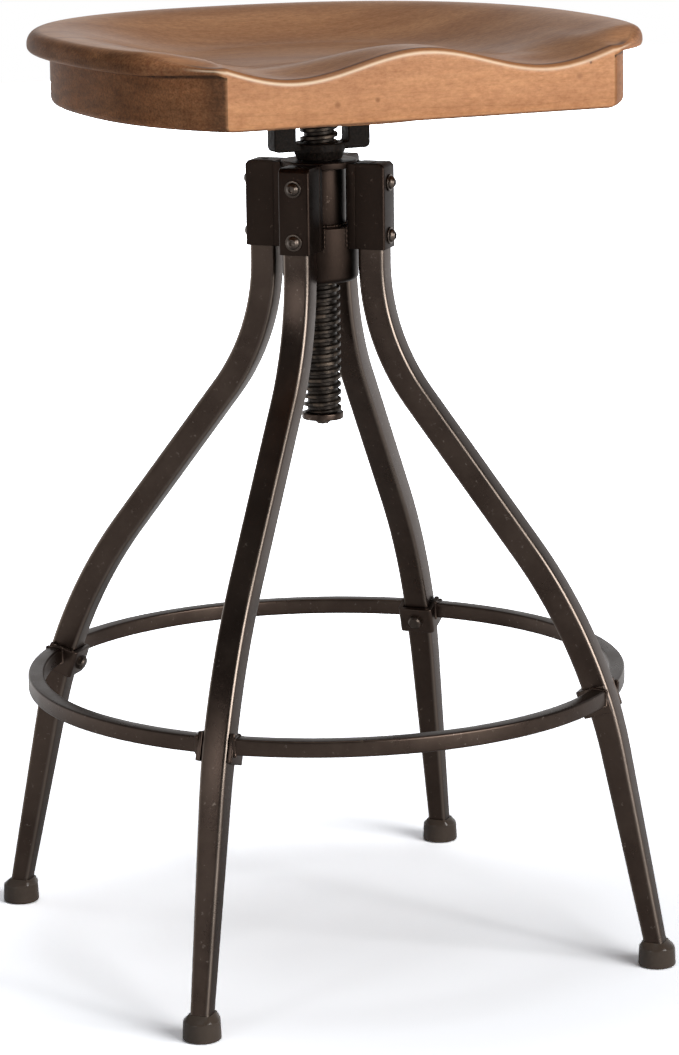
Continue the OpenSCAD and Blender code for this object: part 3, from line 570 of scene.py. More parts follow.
def helix(low, high, per_turn=24, count=72):
    """Threaded rod: row k sits at k / per_turn pitches and climbs one pitch as it goes round, so
    each row runs into the one per_turn above it. Radius follows the thread's section by the row's
    phase. Rows past an end are laid on that end's plane and drawn in to the axis."""
    rows = int(((high - low) / pitch + 5) * per_turn)
    k, i = np.meshgrid(np.arange(rows), np.arange(count), indexing="ij")
    free = low + pitch * (k / per_turn - 3 + i / count)
    phase = (k % per_turn) / per_turn
    flank = np.clip((np.abs(phase - 0.5) - 0.17) / 0.16, 0, 1)
    radius = screw_radius - thread_depth * flank ** 2 * (3 - 2 * flank)
    over = np.maximum(np.maximum(low - free, free - high), 0)
    chamfer = np.clip(np.minimum(free - low, high - free) / 1.2, 0, 1)
    radius = np.minimum(radius, screw_radius - 1.6 * (1 - chamfer))
    radius = radius * np.clip(1 - over / pitch, 0, 1)
    points = polar(radius, i / count * 2 * math.pi, np.clip(free, low, high))
    k, i = (a.ravel() for a in np.meshgrid(np.arange(rows - per_turn - 1), np.arange(count), indexing="ij"))
    right, climb = (i + 1) % count, np.where(i == count - 1, per_turn, 0)
    faces = np.stack([k * count + i, (k + climb) * count + right, (k + 1 + climb) * count + right,
                      (k + 1) * count + i], -1)
    return points, faces, 1 - flank


SCREW_DARK = (0.022, 0.017, 0.014, 1)
SCREW_LIGHT = (0.055, 0.044, 0.036, 1)
# The lighter colour on the crests is scuffed metal and a painted highlight.
SCREW_WORN_AND_HIGHLIGHT = (0.15, 0.115, 0.088, 1)


def greased_steel():
    """Blackened thread: dark in the roots, lighter in patches along the crests by the point mark
    'crest': scuffed metal and a painted highlight.
    """
    material, shader, add, ramp, put = finish_named("greased_screw")
    place = add("TexCoord")
    crest = add("Attribute", attribute_name="crest")
    blotch = add("TexNoise", {"Vector": (place, "Object"), "Scale": 110.0, "Detail": 6.0, "Roughness": 0.65})
    tone = ramp((blotch, "Fac"), (0.35, SCREW_DARK), (0.68, SCREW_LIGHT))
    rubbed_and_highlit = add("MapRange", {"Value": (blotch, "Fac"), 1: 0.45, 2: 0.62, 3: 0.0, 4: 1.0})
    both = add("Math", {0: (rubbed_and_highlit, 0), 1: (crest, "Fac")}, operation="MULTIPLY")
    colour = add("MixRGB", {0: (both, 0), 1: (tone, 0), 2: SCREW_WORN_AND_HIGHLIGHT})
    bump = add("Bump", {"Strength": 0.25, "Distance": 0.0005, "Height": (blotch, "Fac")})
    gloss = add("MapRange", {"Value": (blotch, "Fac"), 1: 0.3, 2: 0.7, 3: 0.28, 4: 0.46})
    put(shader, {"Base Color": (colour, 0), "Roughness": (gloss, 0), "Normal": (bump, 0),
                 "Metallic": 0.7})
    return material


points, faces, crest = helix(screw_bottom, screw_top)
piece("lifting_screw", [(points, faces)], "seat", greased_steel(), ["screw"], 60,
      {"crest": crest})


# ---- Stop washer and end bolt --------------------------------------------------------------------
# A thick turned washer under the screw's end, held by a hexagon bolt. It keeps the screw from
# being wound out of the hub.

stop_low, stop_high, stop_bore, stop_radius, end_bolt_height = 399.65, 404.65, 3.1, 15.5, 3.7
stop = rectangle(stop_bore, stop_radius, stop_low, stop_high, [0.3, 0.8, 0.8, 0.2], 5)
piece("stop_ring", [turned_ring(stop, 72)], "lift", bronze_paint, ["stop_washer"])
end_head = hex_head(hex_flats, end_bolt_height)
end_points = end_head * [1, -1, -1] + [0, 0, stop_low - 0.15]
piece("end_hex_bolt", [(end_points, grid_faces(len(end_head), 72))], "seat", dark_steel,
      ["end_bolt"])


# ---- Yoke ----------------------------------------------------------------------------------------
# A black iron casting between the screw and the seat: a web with a short boss, a lug on each
# side, and ears at their tops that are screwed to the seat. Its skin is rough from the sand.

web_bottom, disc_bottom, seat_bottom = 600.0, 628.0, 639.0
yoke_half, yoke_depth, yoke_height, web_thick, lug = 38.5, 7.0, 28.0, 5.2, 17.5
boss_radius, boss_low_radius, boss_drop, boss_bore = 19.2, 16.5, 6.7, 14.1
ear_in, ear_out, ear_half, ear_thick = 36.5, 60.5, 17.0, 5.0
IRON_DARK = (0.009, 0.0072, 0.006, 1)
IRON_LIGHT = (0.03, 0.023, 0.019, 1)


def cast_iron():
    """Sand-cast skin under black enamel: pitted bump, dull and glossy patches."""
    material, shader, add, ramp, put = finish_named("black_casting")
    place = add("TexCoord")
    sand = add("TexNoise", {"Vector": (place, "Object"), "Scale": 420.0, "Detail": 5.0, "Roughness": 0.6})
    dents = add("TexVoronoi", {"Vector": (place, "Object"), "Scale": 260.0}, feature="SMOOTH_F1")
    both = add("MixRGB", {0: 0.5, 1: (sand, "Fac"), 2: (dents, "Distance")})
    tone = ramp((sand, "Fac"), (0.35, IRON_DARK), (0.68, IRON_LIGHT))
    bump = add("Bump", {"Strength": 0.55, "Distance": 0.0011, "Height": (both, 0)})
    gloss = add("MapRange", {"Value": (sand, "Fac"), 1: 0.3, 2: 0.7, 3: 0.34, 4: 0.62})
    put(shader, {"Base Color": (tone, 0), "Roughness": (gloss, 0), "Normal": (bump, 0),
                 "Metallic": 0.1, "Specular IOR Level": 0.1})
    return material


black_casting = cast_iron()
lug_in = yoke_half - lug
fork = rounded([(-yoke_half, 0), (yoke_half, 0), (yoke_half, yoke_height), (lug_in, yoke_height),
                (lug_in, web_thick), (-lug_in, web_thick), (-lug_in, yoke_height),
                (-yoke_half, yoke_height)], [4, 4, 1.4, 1.4, 2.2, 2.2, 1.4, 1.4], 7) + [0, web_bottom]
boss = rounded([(boss_bore, -boss_drop), (boss_low_radius, -boss_drop), (boss_radius, 0),
                (boss_radius, web_thick + 0.4), (boss_bore, web_thick + 0.4)], [0.2, 0.8, 1.2, 1.0, 0.3], 5)
shells = [slab(fork, -yoke_depth, yoke_depth, 1.1, 6), turned_ring(boss + [0, web_bottom], 72)]
for low, high in ((-ear_out, -ear_in), (ear_in, ear_out)):
    ear = rectangle(low, high, -ear_half, ear_half, 6, 8)
    points, faces = slab(ear, disc_bottom - ear_thick, disc_bottom - 0.02, 0.8)
    shells.append((points[..., [0, 2, 1]], faces))
piece("cast_yoke", shells, "seat", black_casting, ["yoke"])


# ---- Seat screws ---------------------------------------------------------------------------------
# Four steel wood screws with pan heads and crossed slots. They go up through the yoke's ears into
# the disc and the seat.

screw_places = [(x, y) for x in (-49.5, 49.5) for y in (-9.0, 9.0)]
pan_height = 2.6


def pan_head(count=48):
    """Pan head along minus Z from 0: rings of a flattened dome; the rings inside are pressed in
    along a cross, whose depth falls with the smaller of the two distances from its arms."""
    rings = [(0, 2.6), (0.5, 2.6), (1.0, 2.6), (1.5, 2.6), (2.0, 2.6), (2.4, 2.58), (3.2, 2.45), (3.9, 2.1),
             (4.4, 1.3), (4.5, 0.6), (4.5, 0), (0, 0)]
    points = turned(rings, count)
    x, y, level = np.moveaxis(points, -1, 0)
    arm = np.minimum(np.abs(x), np.abs(y))
    cut = np.clip((0.55 - arm) / 0.25, 0, 1) * np.clip((pan_height - np.hypot(x, y)) / 0.9, 0, 1)
    return np.stack([x, y, 1.5 * cut * (level > pan_height - 0.3) - level], -1)


pan = pan_head()
screw_shells = [(pan + [x, y, disc_bottom - ear_thick], grid_faces(len(pan), 48)) for x, y in screw_places]
piece("wood_screws", screw_shells, "seat", dark_steel, ["seat_screws"])


# ---- Mounting disc -------------------------------------------------------------------------------
# A turned disc of the seat's own wood and stain. It sits between the yoke's ears and the seat and
# spreads the load, and the wood screws pass through it.

WOOD_PALE = (0.66, 0.335, 0.165, 1)
WOOD_MID = (0.56, 0.268, 0.122, 1)
WOOD_DEEP = (0.4, 0.172, 0.074, 1)
WOOD_SIDE = (0.7, 0.66, 0.66, 1)
# The next three colours: a darkening that is mostly painted shade, a painted shade strip for the rounded
# front edge, and a pale line of scuffed stain with a painted highlight.
WOOD_SHADE_AND_DIRT = (0.07, 0.044, 0.03, 1)
WOOD_EDGE_SHADE = (0.3, 0.122, 0.047, 1)
WOOD_RUBBED_AND_HIGHLIT = (1.0, 0.8, 0.58, 1)
KNOTS = (((0.1296, -0.18, 0.6722), 0.0014, (0.12, 0.045, 0.02, 1)),
         ((-0.0365, -0.18, 0.6553), 0.0024, (0.3, 0.12, 0.05, 1)),
         ((-0.0668, -0.18, 0.6537), 0.003, (0.34, 0.14, 0.06, 1)),
         ((0.1205, -0.18, 0.663), 0.0032, (0.4, 0.175, 0.08, 1)))
disc_radius = 100.0


def stained_wood(name):
    """Stained hardwood with its grain along X: rings of a far log warped by noise, soft tides of
    stain, flecks, long fine streaks, short pores, small knots and a polished coat. noise() is
    stretched along each axis by one over its scale. Point marks colour single places: 'end_grain'
    the sides that soak up the stain; one mark darkens, mostly for painted shade and partly in darker
    strips by the front corners; one lays a painted shade strip along the rounded front edge; and one
    pales a line in it, where the stain is scuffed through and a painted highlight lies."""
    material, shader, add, ramp, put = finish_named(name)
    place = add("TexCoord")

    def noise(scale, detail, roughness, source=(place, "Object")):
        way = add("Mapping", {"Vector": source, "Scale": scale})
        return add("TexNoise", {"Vector": (way, 0), "Scale": 1.0, "Detail": detail, "Roughness": roughness})

    def times(first, second, share=1.0):
        return add("MixRGB", {0: share, 1: (first, 0), 2: second}, blend_type="MULTIPLY")

    cloud = noise((2.2, 17.0, 17.0), 4.0, 0.55)
    warp = add("VectorMath", {0: (cloud, "Color"), 1: (0.0, 0.03, 0.03)}, operation="MULTIPLY")
    bent = add("VectorMath", {0: (place, "Object"), 1: (warp, 0)}, operation="ADD")
    log = add("Mapping", {"Vector": (bent, 0), "Location": (0.0, 0.06, -0.31), "Scale": (0.06, 1.0, 1.0)})
    rings = add("TexWave", {"Vector": (log, 0), "Scale": 24.0, "Distortion": 2.2, "Detail": 4.0,
                            "Detail Scale": 3.0}, wave_type="RINGS", rings_direction="X", wave_profile="SAW")
    fibre = noise((34.0, 700.0, 700.0), 5.0, 0.6)
    fleck = noise((190.0, 380.0, 380.0), 4.0, 0.7)
    pore = noise((150.0, 1500.0, 1500.0), 2.0, 0.5)
    tide = noise((7.0, 30.0, 30.0), 5.0, 0.6, (bent, 0))
    soak = noise((26.0, 26.0, 120.0), 5.0, 0.65)
    patchy = noise((230.0, 230.0, 420.0), 5.0, 0.7)
    base = ramp((rings, "Fac"), (0.0, WOOD_MID), (0.55, WOOD_PALE), (0.93, WOOD_MID), (1.0, WOOD_DEEP))
    toned = add("MixRGB", {0: 0.5, 1: (base, 0), 2: WOOD_MID})
    blotches = ramp((cloud, "Fac"), (0.34, 0.0), (0.66, 1.0))
    stained = add("MixRGB", {0: (blotches, 0), 1: (toned, 0), 2: WOOD_PALE})
    tides = ramp((tide, "Fac"), (0.36, (0.86, 0.81, 0.78, 1)), (0.64, (1.08, 1.08, 1.07, 1)))
    mottle = ramp((fleck, "Fac"), (0.34, (0.87, 0.8, 0.76, 1)), (0.66, (1.1, 1.11, 1.11, 1)))
    streaks = ramp((fibre, "Fac"), (0.36, 0.95), (0.64, 1.03))
    pores = ramp((pore, "Fac"), (0.66, 1.0), (0.75, 0.74))
    grained = times(times(times(times(stained, (tides, 0)), (mottle, 0)), (streaks, 0)), (pores, 0))

    ends = add("Attribute", attribute_name="end_grain")
    soaked = ramp((soak, "Fac"), (0.32, 0.66), (0.66, 1.24))
    hairs = ramp((fibre, "Fac"), (0.38, 0.78), (0.6, 1.1))
    uneven = times(soaked, (hairs, 0))
    sided = times(times(grained, WOOD_SIDE, (ends, "Fac")), (uneven, 0), (ends, "Fac"))
    # A painted shade strip along the rounded front edge.
    edge_shade = add("Attribute", attribute_name="edge_shade")
    knotted = add("MixRGB", {0: (edge_shade, "Fac"), 1: (sided, 0), 2: WOOD_EDGE_SHADE})
    for spot, size, tint in KNOTS:
        gap = add("VectorMath", {0: (place, "Object"), 1: spot}, operation="DISTANCE")
        near = add("MapRange", {"Value": (gap, "Value"), 1: size * 0.3, 2: size, 3: 0.8, 4: 0.0})
        knotted = add("MixRGB", {0: (near, 0), 1: (knotted, 0), 2: tint})
    # Darkening, mostly painted shade, held in patches by noise.
    shade_dirt_mark = add("Attribute", attribute_name="shade_and_dirt")
    held = add("MapRange", {"Value": (patchy, "Fac"), 1: 0.3, 2: 0.6, 3: 0.6, 4: 1.0})
    shade_dirt_share = add("Math", {0: (shade_dirt_mark, "Fac"), 1: (held, 0)}, operation="MULTIPLY")
    shade_and_dirt = add("MixRGB", {0: (shade_dirt_share, 0), 1: (knotted, 0), 2: WOOD_SHADE_AND_DIRT})
    # The pale front line: scuffed stain and a painted highlight.
    rubbed_and_highlit = add("Attribute", attribute_name="rubbed_and_highlit")
    colour = add("MixRGB", {0: (rubbed_and_highlit, "Fac"), 1: (shade_and_dirt, 0), 2: WOOD_RUBBED_AND_HIGHLIT})
    relief = add("MixRGB", {0: 0.4, 1: (fibre, "Fac"), 2: (pores, 0)})
    bump = add("Bump", {"Strength": 0.1, "Distance": 0.0005, "Height": (relief, 0)})
    gloss = add("MapRange", {"Value": (fibre, "Fac"), 1: 0.3, 2: 0.7, 3: 0.4, 4: 0.54})
    coat = add("MapRange", {"Value": (ends, "Fac"), 1: 0.0, 2: 1.0, 3: 0.32, 4: 0.07})
    put(shader, {"Base Color": (colour, 0), "Roughness": (gloss, 0), "Normal": (bump, 0),
                 "Coat Weight": (coat, 0), "Coat Roughness": 0.18, "Specular IOR Level": 0.03})
    return material


wood = stained_wood("stained_wood")
disc = rectangle(0, disc_radius, disc_bottom, seat_bottom, [0, 1.6, 0.6, 0], 6)[6:-6]
disc = np.concatenate([[(0, disc_bottom)], disc, [(0, seat_bottom)]])
disc_points = turned(disc, 144)
disc_x = np.abs(disc_points[..., 0])
# The whole disc is darkened a little through the painted shade mark, at 0.3; it has no edge strip or line.
piece("turned_disc", [(disc_points, grid_faces(len(disc), 144))], "seat", wood, ["seat_disc"],
      marks={"end_grain": np.clip((disc_x - 60) / 30, 0, 1), "shade_and_dirt": np.full(disc_x.shape, 0.3),
             "edge_shade": np.zeros(disc_x.shape), "rubbed_and_highlit": np.zeros(disc_x.shape)})


# ---- Seat ----------------------------------------------------------------------------------------
# One thick board of stained hardwood, carved to a saddle: a dish with two hollows at the front, a
# rolled rim round the sides and back, and a flat front face whose top edge waves with the carving.
# It is screwed to the disc and the yoke from below.

seat_half, seat_front, seat_back, seat_thick, face_half = 214.0, 180.0, 190.0, 53.0, 150.0
rim_out, rim_front, rim_edge, rim_round, lip_round = 16.0, 2.5, 6.0, 10.0, 4.0
lip_level, lip_rise = 37.4, 2.0
corner_height, hollow_height, crest_height, hollow_at = 43.9, 33.4, 50.0, 97.0
dish_depth, wave_reach, wave_end = 22.0, 135.0, 148.4
front_round, foot_round, foot_edge = 4.8, 4.5, 0.9
power = 2.4
apron_half, apron_back = seat_half - rim_out, seat_back - rim_out
face_share = (1 - (face_half / apron_half) ** power) ** (1 / power)
apron_deep = (seat_front + apron_back) / (1 + face_share)
middle_y = apron_back - apron_deep


def ease(low, high, value):
    """Smooth step: three times the square less twice the cube of the clipped share."""
    share = np.clip((value - low) / (high - low), 0, 1)
    return share * share * (3 - 2 * share)


def half_width(y, out):
    """Half width of the outline at a depth in front of its widest line: the superellipse's, grown
    by out. A rim stands out less near the front face, and an inset is the same all along."""
    near = rim_front / rim_out if np.max(out) > 0 else 1.0
    grown = out * (near + (1 - near) * ease(-seat_front, 60 - seat_front, y))
    share = 1 - (np.abs(middle_y - y) / (apron_deep + grown)) ** power
    return (apron_half + grown) * np.maximum(0, share) ** (1 / power)


back_along = np.linspace(0, 1, 36) ** 1.35
round_back = np.linspace(0, math.pi, 131)[1:-1]
across = np.linspace(-1, 1, 121)
corner_share = np.linspace(0, 1, 9)[1:-1]


def plan(out, inset=0.0, back=1.5, draw=0.0):
    """The closed outline seen from above: up the right side from the front corner, round the back
    and down the left side, then the front line. Each front corner is a quadratic curve from the
    side, over the corner point, to the front line's end."""
    front_y = inset - seat_front
    y = front_y + back + (middle_y - front_y - back) * back_along
    x = half_width(y, out)
    cos, sin = np.cos(round_back), np.sin(round_back)
    back_x = (apron_half + out) * np.sign(cos) * np.abs(cos) ** (2 / power)
    back_y = middle_y + (apron_deep + out) * sin ** (2 / power)
    end = face_half - 1.6 - draw
    first = np.array([x[0], y[0]])
    point = np.array([half_width(np.array(front_y), out), front_y])
    share = corner_share[:, None]
    turn = (1 - share) ** 2 * np.array([end, front_y]) + 2 * share * (1 - share) * point + share ** 2 * first
    right = np.column_stack([x, y])
    line = np.column_stack([across * end, np.full(len(across), front_y)])
    return np.concatenate([right, np.column_stack([back_x, back_y]), right[::-1] * [-1, 1],
                           turn[::-1] * [-1, 1], line, turn])


def front_height(x):
    """Height of the front edge: a raised cosine from the crest to the hollow, then a quarter
    cosine from the hollow up to the corner."""
    x = np.abs(x)
    inner = hollow_height + (crest_height - hollow_height) * (1 + np.cos(np.pi * x / hollow_at)) / 2
    share = (np.minimum(wave_end, x) - hollow_at) / (wave_end - hollow_at)
    outer = hollow_height + (corner_height - hollow_height) * (1 - np.cos(np.pi / 2 * share))
    return np.where(x < hollow_at, inner, outer)


def lip_height(y):
    """Height of the rim's underside, which rises a little to the front corners by a smooth step."""
    return lip_level + lip_rise * ease(50 - seat_front, -seat_front, y)


def rim_height(y):
    """Height of the rim's top: full at the sides and back, less by a cubed share near the front."""
    return seat_thick + (corner_height - seat_thick) * (1 - np.clip((y + seat_front) / 60, 0, 1)) ** 3


side_count = 2 * len(back_along) + len(round_back)
station_count = side_count + 2 * len(corner_share) + len(across)
line_first = side_count + len(corner_share)
on_line = slice(line_first, line_first + len(across))
ahead = np.zeros(station_count)
ahead[on_line] = ease(1.0, 0.86, np.abs(across))
front_part = np.zeros(station_count)
front_part[side_count:] = np.concatenate([ease(0, 1, corner_share), np.ones(len(across)),
                                          ease(1, 0, corner_share)])


def carved(outline, share):
    """A row of the carved top and its height: the rim less the dish, eased into the front edge's
    wave. Along the side rims the wave fades out a little way behind the front edge."""
    x, y = outline.T * share
    dished = rim_height(y - front_round * share) - dish_depth * (1 - ease(0.42, 0.98, share))
    behind = y + seat_front - front_round
    rim_part = ease(0.66, 1.0, np.abs(x) / np.maximum(half_width(y, rim_edge), 1)) * ease(0, 52, behind)
    wave = ease(wave_reach, 0, behind) * (1 - rim_part)
    return outline * share, dished + (front_height(x) - dished) * wave


rows, names = [], []


def add_row(kind, step, line, height):
    """A row of the seat: a closed outline at a height, with its kind and how far along that is."""
    rows.append(np.column_stack([line, np.broadcast_to(height, len(line))]))
    names.append((kind, step))


def quarter(degrees):
    """Two shares of a quarter arc at an angle: one less its sine, and one less its cosine."""
    return 1 - math.sin(math.radians(degrees)), 1 - math.cos(math.radians(degrees))


quarter_steps = (0, 18, 36, 54, 72, 90)
rim_line = plan(rim_edge, front_round, 4)
for share in [0] + list(np.linspace(0.04, 0.92, 34)) + [0.94, 0.955, 0.97, 0.982, 0.992, 1.0]:
    add_row("top", share, *carved(rim_line, share))
top_z = rows[-1][:, 2]
for degrees in range(9, 91, 9):
    reach, level = quarter(degrees)
    line = plan(rim_out - rim_round * reach, front_round * reach, 4)
    side_z = top_z + (lip_height(line[:, 1]) - top_z) * rim_round * level / (seat_thick - lip_level)
    front_z = front_height(line[:, 0]) - front_round * level
    add_row("roll", degrees, line, side_z + (front_z - side_z) * front_part)
roll_z = rows[-1][:, 2]

# Rows below the roll: the lip's rounding, its underside and the wall. On the front face, which has
# no lip, they are spread evenly.
below = []
for degrees in quarter_steps:
    level, reach = quarter(degrees)
    line = plan(rim_out - lip_round * reach, 0, 4)
    under_z = lip_height(line[:, 1])
    below.append(("lip", line, under_z + (top_z - under_z) * lip_round * level / (seat_thick - lip_level)))
for out, back in ((8, 3.2), (4, 2.4), (1.4, 1.8)):
    line = plan(out, 0, back)
    below.append(("under", line, lip_height(line[:, 1])))
for share in (0.985, 0.955, 0.92, 0.8, 0.6, 0.4, 0.25, 0.17):
    line = plan(0.0)
    below.append(("wall", line, lip_height(line[:, 1]) * share))
for count, (kind, line, level_z) in enumerate(below):
    gone = (side_z - level_z) / (side_z - foot_round)
    gone += ((count + 1) / (len(below) + 1) - gone) * ahead
    add_row(kind, count, line, roll_z - (roll_z - foot_round) * gone)
for degrees in quarter_steps:
    level, reach = quarter(degrees)
    line = plan(-foot_round * reach, foot_edge * reach, 1.5, foot_round * reach)
    add_row("foot", degrees, line, foot_round * level)
for share in (0.96, 0.7, 0.35, 0.0):
    add_row("bottom", share, line * share, 0.0)
points = np.stack(rows)

# The wood's marks, one value a point: end grain where the walls face sideways. Painted shade under
# the lip and on the wall just below it, along the bottom round, in a thin line where the front roll
# meets the top, over the top's inner part, on the rim's roll away from the front and on the left lip,
# with darker strips on the walls behind the front corners, stronger on the left. A painted shade strip
# along the rounded front edge and on the walls by the right front corner, and a pale line low on the
# front roll, fainter to the right: stain scuffed through and a painted highlight.
kinds = np.array([kind for kind, _ in names])
steps_of = np.array([step for _, step in names], float)
wall_line = plan(0.0)
along = np.roll(wall_line, -1, axis=0) - np.roll(wall_line, 1, axis=0)
facing = np.abs(along[:, 1]) / np.linalg.norm(along, axis=1)
is_roll = kinds == "roll"
is_side = np.isin(kinds, ["lip", "under", "wall", "foot"])
roll_turn = np.where(is_roll, steps_of, np.where(is_side, 90, 0))[:, None]
end_grain = ease(0.3, 0.62, facing)[None] * ease(4, 44, roll_turn)
on_front = (front_part == 1)[None]
corner_gap = np.abs(wall_line[:, 1] + seat_front)[None] + 40 * (wall_line[:, 1] > 0)[None]
left_side = (wall_line[:, 0] < 0)[None]
# Darker strips on the walls behind the front corners, stronger on the left.
shade_and_dirt_mask = ease(19, 5, corner_gap) * np.isin(kinds, ["wall", "foot"])[:, None] * ~on_front
shade_and_dirt_mask = shade_and_dirt_mask * np.where(left_side, 0.62, 0.1)
# Painted shade under the lip, on the wall just below it and along the bottom round.
shade_and_dirt_mask = np.maximum(shade_and_dirt_mask, 0.8 * (kinds == "under")[:, None] * ~on_front)
shade_and_dirt_mask = np.maximum(shade_and_dirt_mask, 0.95 * ((kinds == "wall") & (points[:, 0, 2] > 37))[:, None] * ~on_front)
shade_and_dirt_mask = np.maximum(shade_and_dirt_mask, (0.45 + 0.35 * on_front) * ((kinds == "foot") & (steps_of > 40))[:, None])
front_share = np.where(on_front, 1.0, ease(20, 2, corner_gap))
edge_x = wall_line[None, :, 0]
# A pale line low on the front roll, fainter to the right: scuffed stain and a painted highlight.
wear_and_highlight = np.exp(-((roll_turn - 69) / 11.0) ** 2) * is_roll[:, None] * front_share
wear_and_highlight = wear_and_highlight * (0.92 - 0.3 * ease(-60, 150, edge_x))
# A painted shade strip along the rounded front edge.
edge_shade_mask = front_share * (ease(60, 48, roll_turn) * is_roll[:, None] + (kinds == "top")[:, None]
                        * ease(0.975, 0.992, np.where(kinds == "top", steps_of, 0))[:, None])
# Painted shade in a thin line where the front roll meets the top.
crease_shade = (steps_of == 9) & is_roll | (kinds == "top") & (steps_of > 0.99)
shade_and_dirt_mask = np.maximum(shade_and_dirt_mask, 0.6 * crease_shade[:, None] * front_share)
# The same painted shade strip on the walls by the right front corner.
edge_shade_mask = np.maximum(edge_shade_mask, 0.75 * ease(16, 4, corner_gap) * ~left_side * ~on_front * is_side[:, None])
# Painted shade over the top's inner part, the rim's roll away from the front and the left lip.
top_shade = np.where(kinds == "top", ease(0.97, 0.9, steps_of), 0)[:, None]
shade_and_dirt_mask = np.maximum(shade_and_dirt_mask, 0.18 * np.maximum(top_shade, (kinds == "roll")[:, None] * (1 - front_share)))
shade_and_dirt_mask = np.maximum(shade_and_dirt_mask, 0.3 * (kinds == "lip")[:, None] * left_side * ~on_front)
points[..., 2] += seat_bottom
piece("carved_seat", [(points, grid_faces(len(points), station_count))], "seat", wood, ["seat"], 50,
      {"end_grain": end_grain, "shade_and_dirt": shade_and_dirt_mask, "edge_shade": 0.7 * edge_shade_mask, "rubbed_and_highlit": wear_and_highlight})


# ---- Studio --------------------------------------------------------------------------------------
# A white paper sweep under soft boxes: a wide key with a narrow strip in it from the front right, a
# weak fill from the left and one overhead. The camera stands where the photographer stood.

key_place, key_target, KEY_WHITE = (1.25, -2.75, 1.3), (0, 0, 0.62), (1.0, 0.985, 0.965)
key_distance = 3.29


def lamp(name, place, target, width, tall, power, colour=(1, 1, 1)):
    """A soft box at a place, turned to a target."""
    data = bpy.data.lights.new(name, "AREA")
    data.shape, data.size, data.size_y, data.energy, data.color = "RECTANGLE", width, tall, power, colour
    made = placed(name, data)
    made.location = place
    made.rotation_euler = (Vector(target) - Vector(place)).to_track_quat("-Z", "Y").to_euler()


lamp("key_box", key_place, key_target, 2.5, 1.9, 72, KEY_WHITE)
lamp("key_strip", (1.2, -2.65, 1.5), key_target, 0.3, 1.5, 7, KEY_WHITE)
lamp("fill_box", (-2.4, -1.2, 0.85), (0, 0, 0.4), 0.45, 0.8, 3.5)
lamp("top_box", (0, 0.02, 4.5), (0, 0, 0.3), 2.2, 2.2, 34)

# The world is white for the camera. What metal and polish see in it is the bright sweep behind the
# stool, a dimmer room in front of it and a darker ceiling, and all other light from it is faint.
world = bpy.data.worlds.new("white_sweep")
bpy.context.scene.world = world
world.use_nodes = True
add, _, put = node_tools(world.node_tree)
path = add("LightPath")
way = add("SeparateXYZ", {0: (add("TexCoord"), "Generated")})
paper = add("MapRange", {"Value": (way, "Y"), 1: -0.45, 2: 0.5, 3: 0.3, 4: 1.0})
ceiling = add("MapRange", {"Value": (way, "Z"), 1: 0.06, 2: 0.36, 3: 1.0, 4: 0.24})
room = add("Math", {0: (paper, 0), 1: (ceiling, 0)}, operation="MULTIPLY")
reflecting = add("Math", {0: (path, "Is Glossy Ray"), 1: (path, "Is Transmission Ray")}, operation="MAXIMUM")
reflected = add("Math", {0: (reflecting, 0), 1: (room, 0)}, operation="MULTIPLY")
shown = add("Math", {0: (reflected, 0), 1: (path, "Is Camera Ray")}, operation="MAXIMUM")
strength = add("Math", {0: (shown, 0), 1: 0.05}, operation="MAXIMUM")
put(world.node_tree.nodes["Background"], {"Color": (1, 1, 1, 1), "Strength": (strength, 0)})

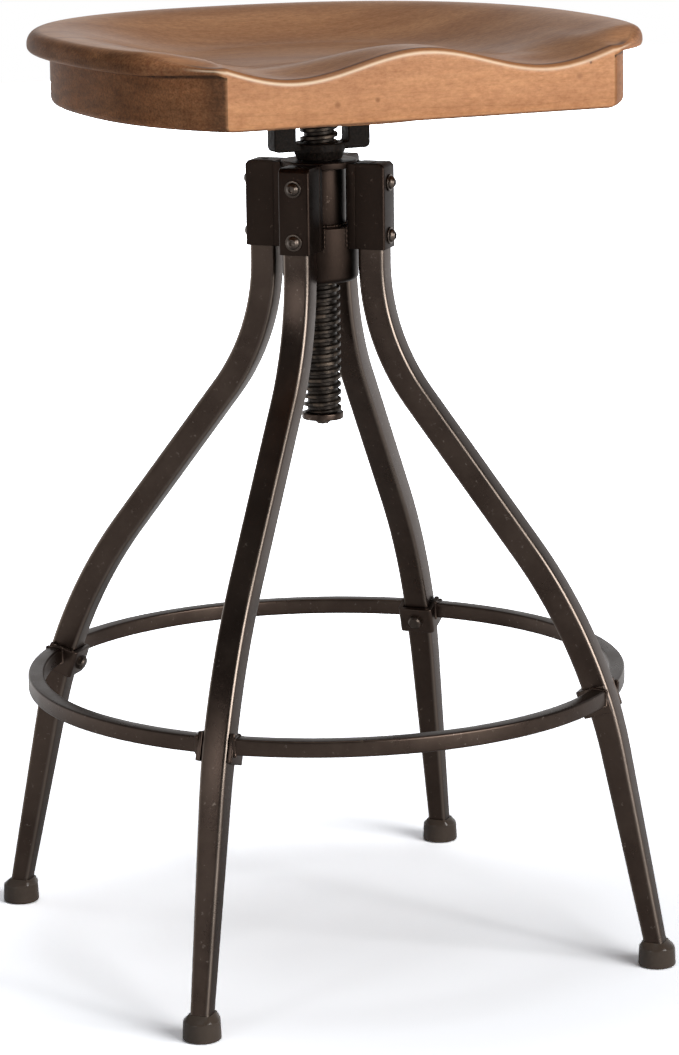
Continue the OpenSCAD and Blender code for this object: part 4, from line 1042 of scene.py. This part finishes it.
# The floor's white for the camera grows with the cube of the distance from the key lamp, so the light
# on it looks even, and away from the stool the paper glows a little, as a lit sweep does.
floor_half = 6.0
floor_x, floor_y = np.meshgrid(*[np.linspace(-floor_half, floor_half, 9)] * 2)
floor_mesh = bpy.data.meshes.new("floor")
floor_points = np.stack([floor_x, floor_y, np.zeros_like(floor_x)], -1).reshape(-1, 3)
floor_mesh.from_pydata(floor_points.tolist(), [], grid_faces(9, 9, around=False).tolist())
floor = placed("floor", floor_mesh)
white, shader, add, _, put = finish_named("white_floor")
path = add("LightPath")
place = add("TexCoord")
to_key = add("VectorMath", {0: (place, "Object"), 1: key_place}, operation="DISTANCE")
far = add("Math", {0: (to_key, "Value"), 1: key_distance}, operation="DIVIDE")
evened = add("Math", {0: (far, 0), 1: 3.0}, operation="POWER")
lit_white = add("MixRGB", {0: 1.0, 1: (2.5, 2.58, 2.71, 1), 2: (evened, 0)}, blend_type="MULTIPLY")
seen_white = add("MixRGB", {0: (path, "Is Camera Ray"), 1: (0.8, 0.8, 0.805, 1), 2: (lit_white, 0)})
to_stool = add("VectorMath", {0: (place, "Object")}, operation="LENGTH")
outer = add("MapRange", {"Value": (to_stool, "Value"), 1: 0.28, 2: 1.3, 3: 0.02, 4: 1.0})
depth = add("SeparateXYZ", {0: (place, "Object")})
back_part = add("MapRange", {"Value": (depth, "Y"), 1: -0.6, 2: 1.6, 3: 0.12, 4: 1.0})
reflecting = add("Math", {0: (path, "Is Glossy Ray"), 1: (path, "Is Transmission Ray")}, operation="MAXIMUM")
reflected = add("Math", {0: (reflecting, 0), 1: (back_part, 0)}, operation="MULTIPLY")
shown = add("Math", {0: (path, "Is Camera Ray"), 1: (reflected, 0)}, operation="MAXIMUM")
glow = add("Math", {0: (shown, 0), 1: (outer, 0)}, operation="MULTIPLY")
put(shader, {"Base Color": (seen_white, 0), "Roughness": 0.9, "Specular IOR Level": 0.0,
             "Emission Color": (1, 1, 1, 1), "Emission Strength": (glow, 0)})
floor_mesh.materials.append(white)

focal_pixels, photo_height, sensor = 4072.2, 1055, 36
camera_data = bpy.data.cameras.new("camera")
camera_data.sensor_width = sensor
camera_data.lens = focal_pixels * sensor / photo_height
camera_data.clip_start, camera_data.clip_end = 0.1, 50
camera = placed("camera", camera_data)
camera.matrix_world = (Matrix.Translation((-1.2272, -2.7155, 0.9612))
                       @ Matrix.Rotation(math.radians(-24.536), 4, "Z")
                       @ Matrix.Rotation(math.radians(77.781), 4, "X")
                       @ Matrix.Rotation(math.radians(-0.772), 4, "Z"))
bpy.context.scene.camera = camera
bpy.context.scene.view_settings.view_transform = "Standard"
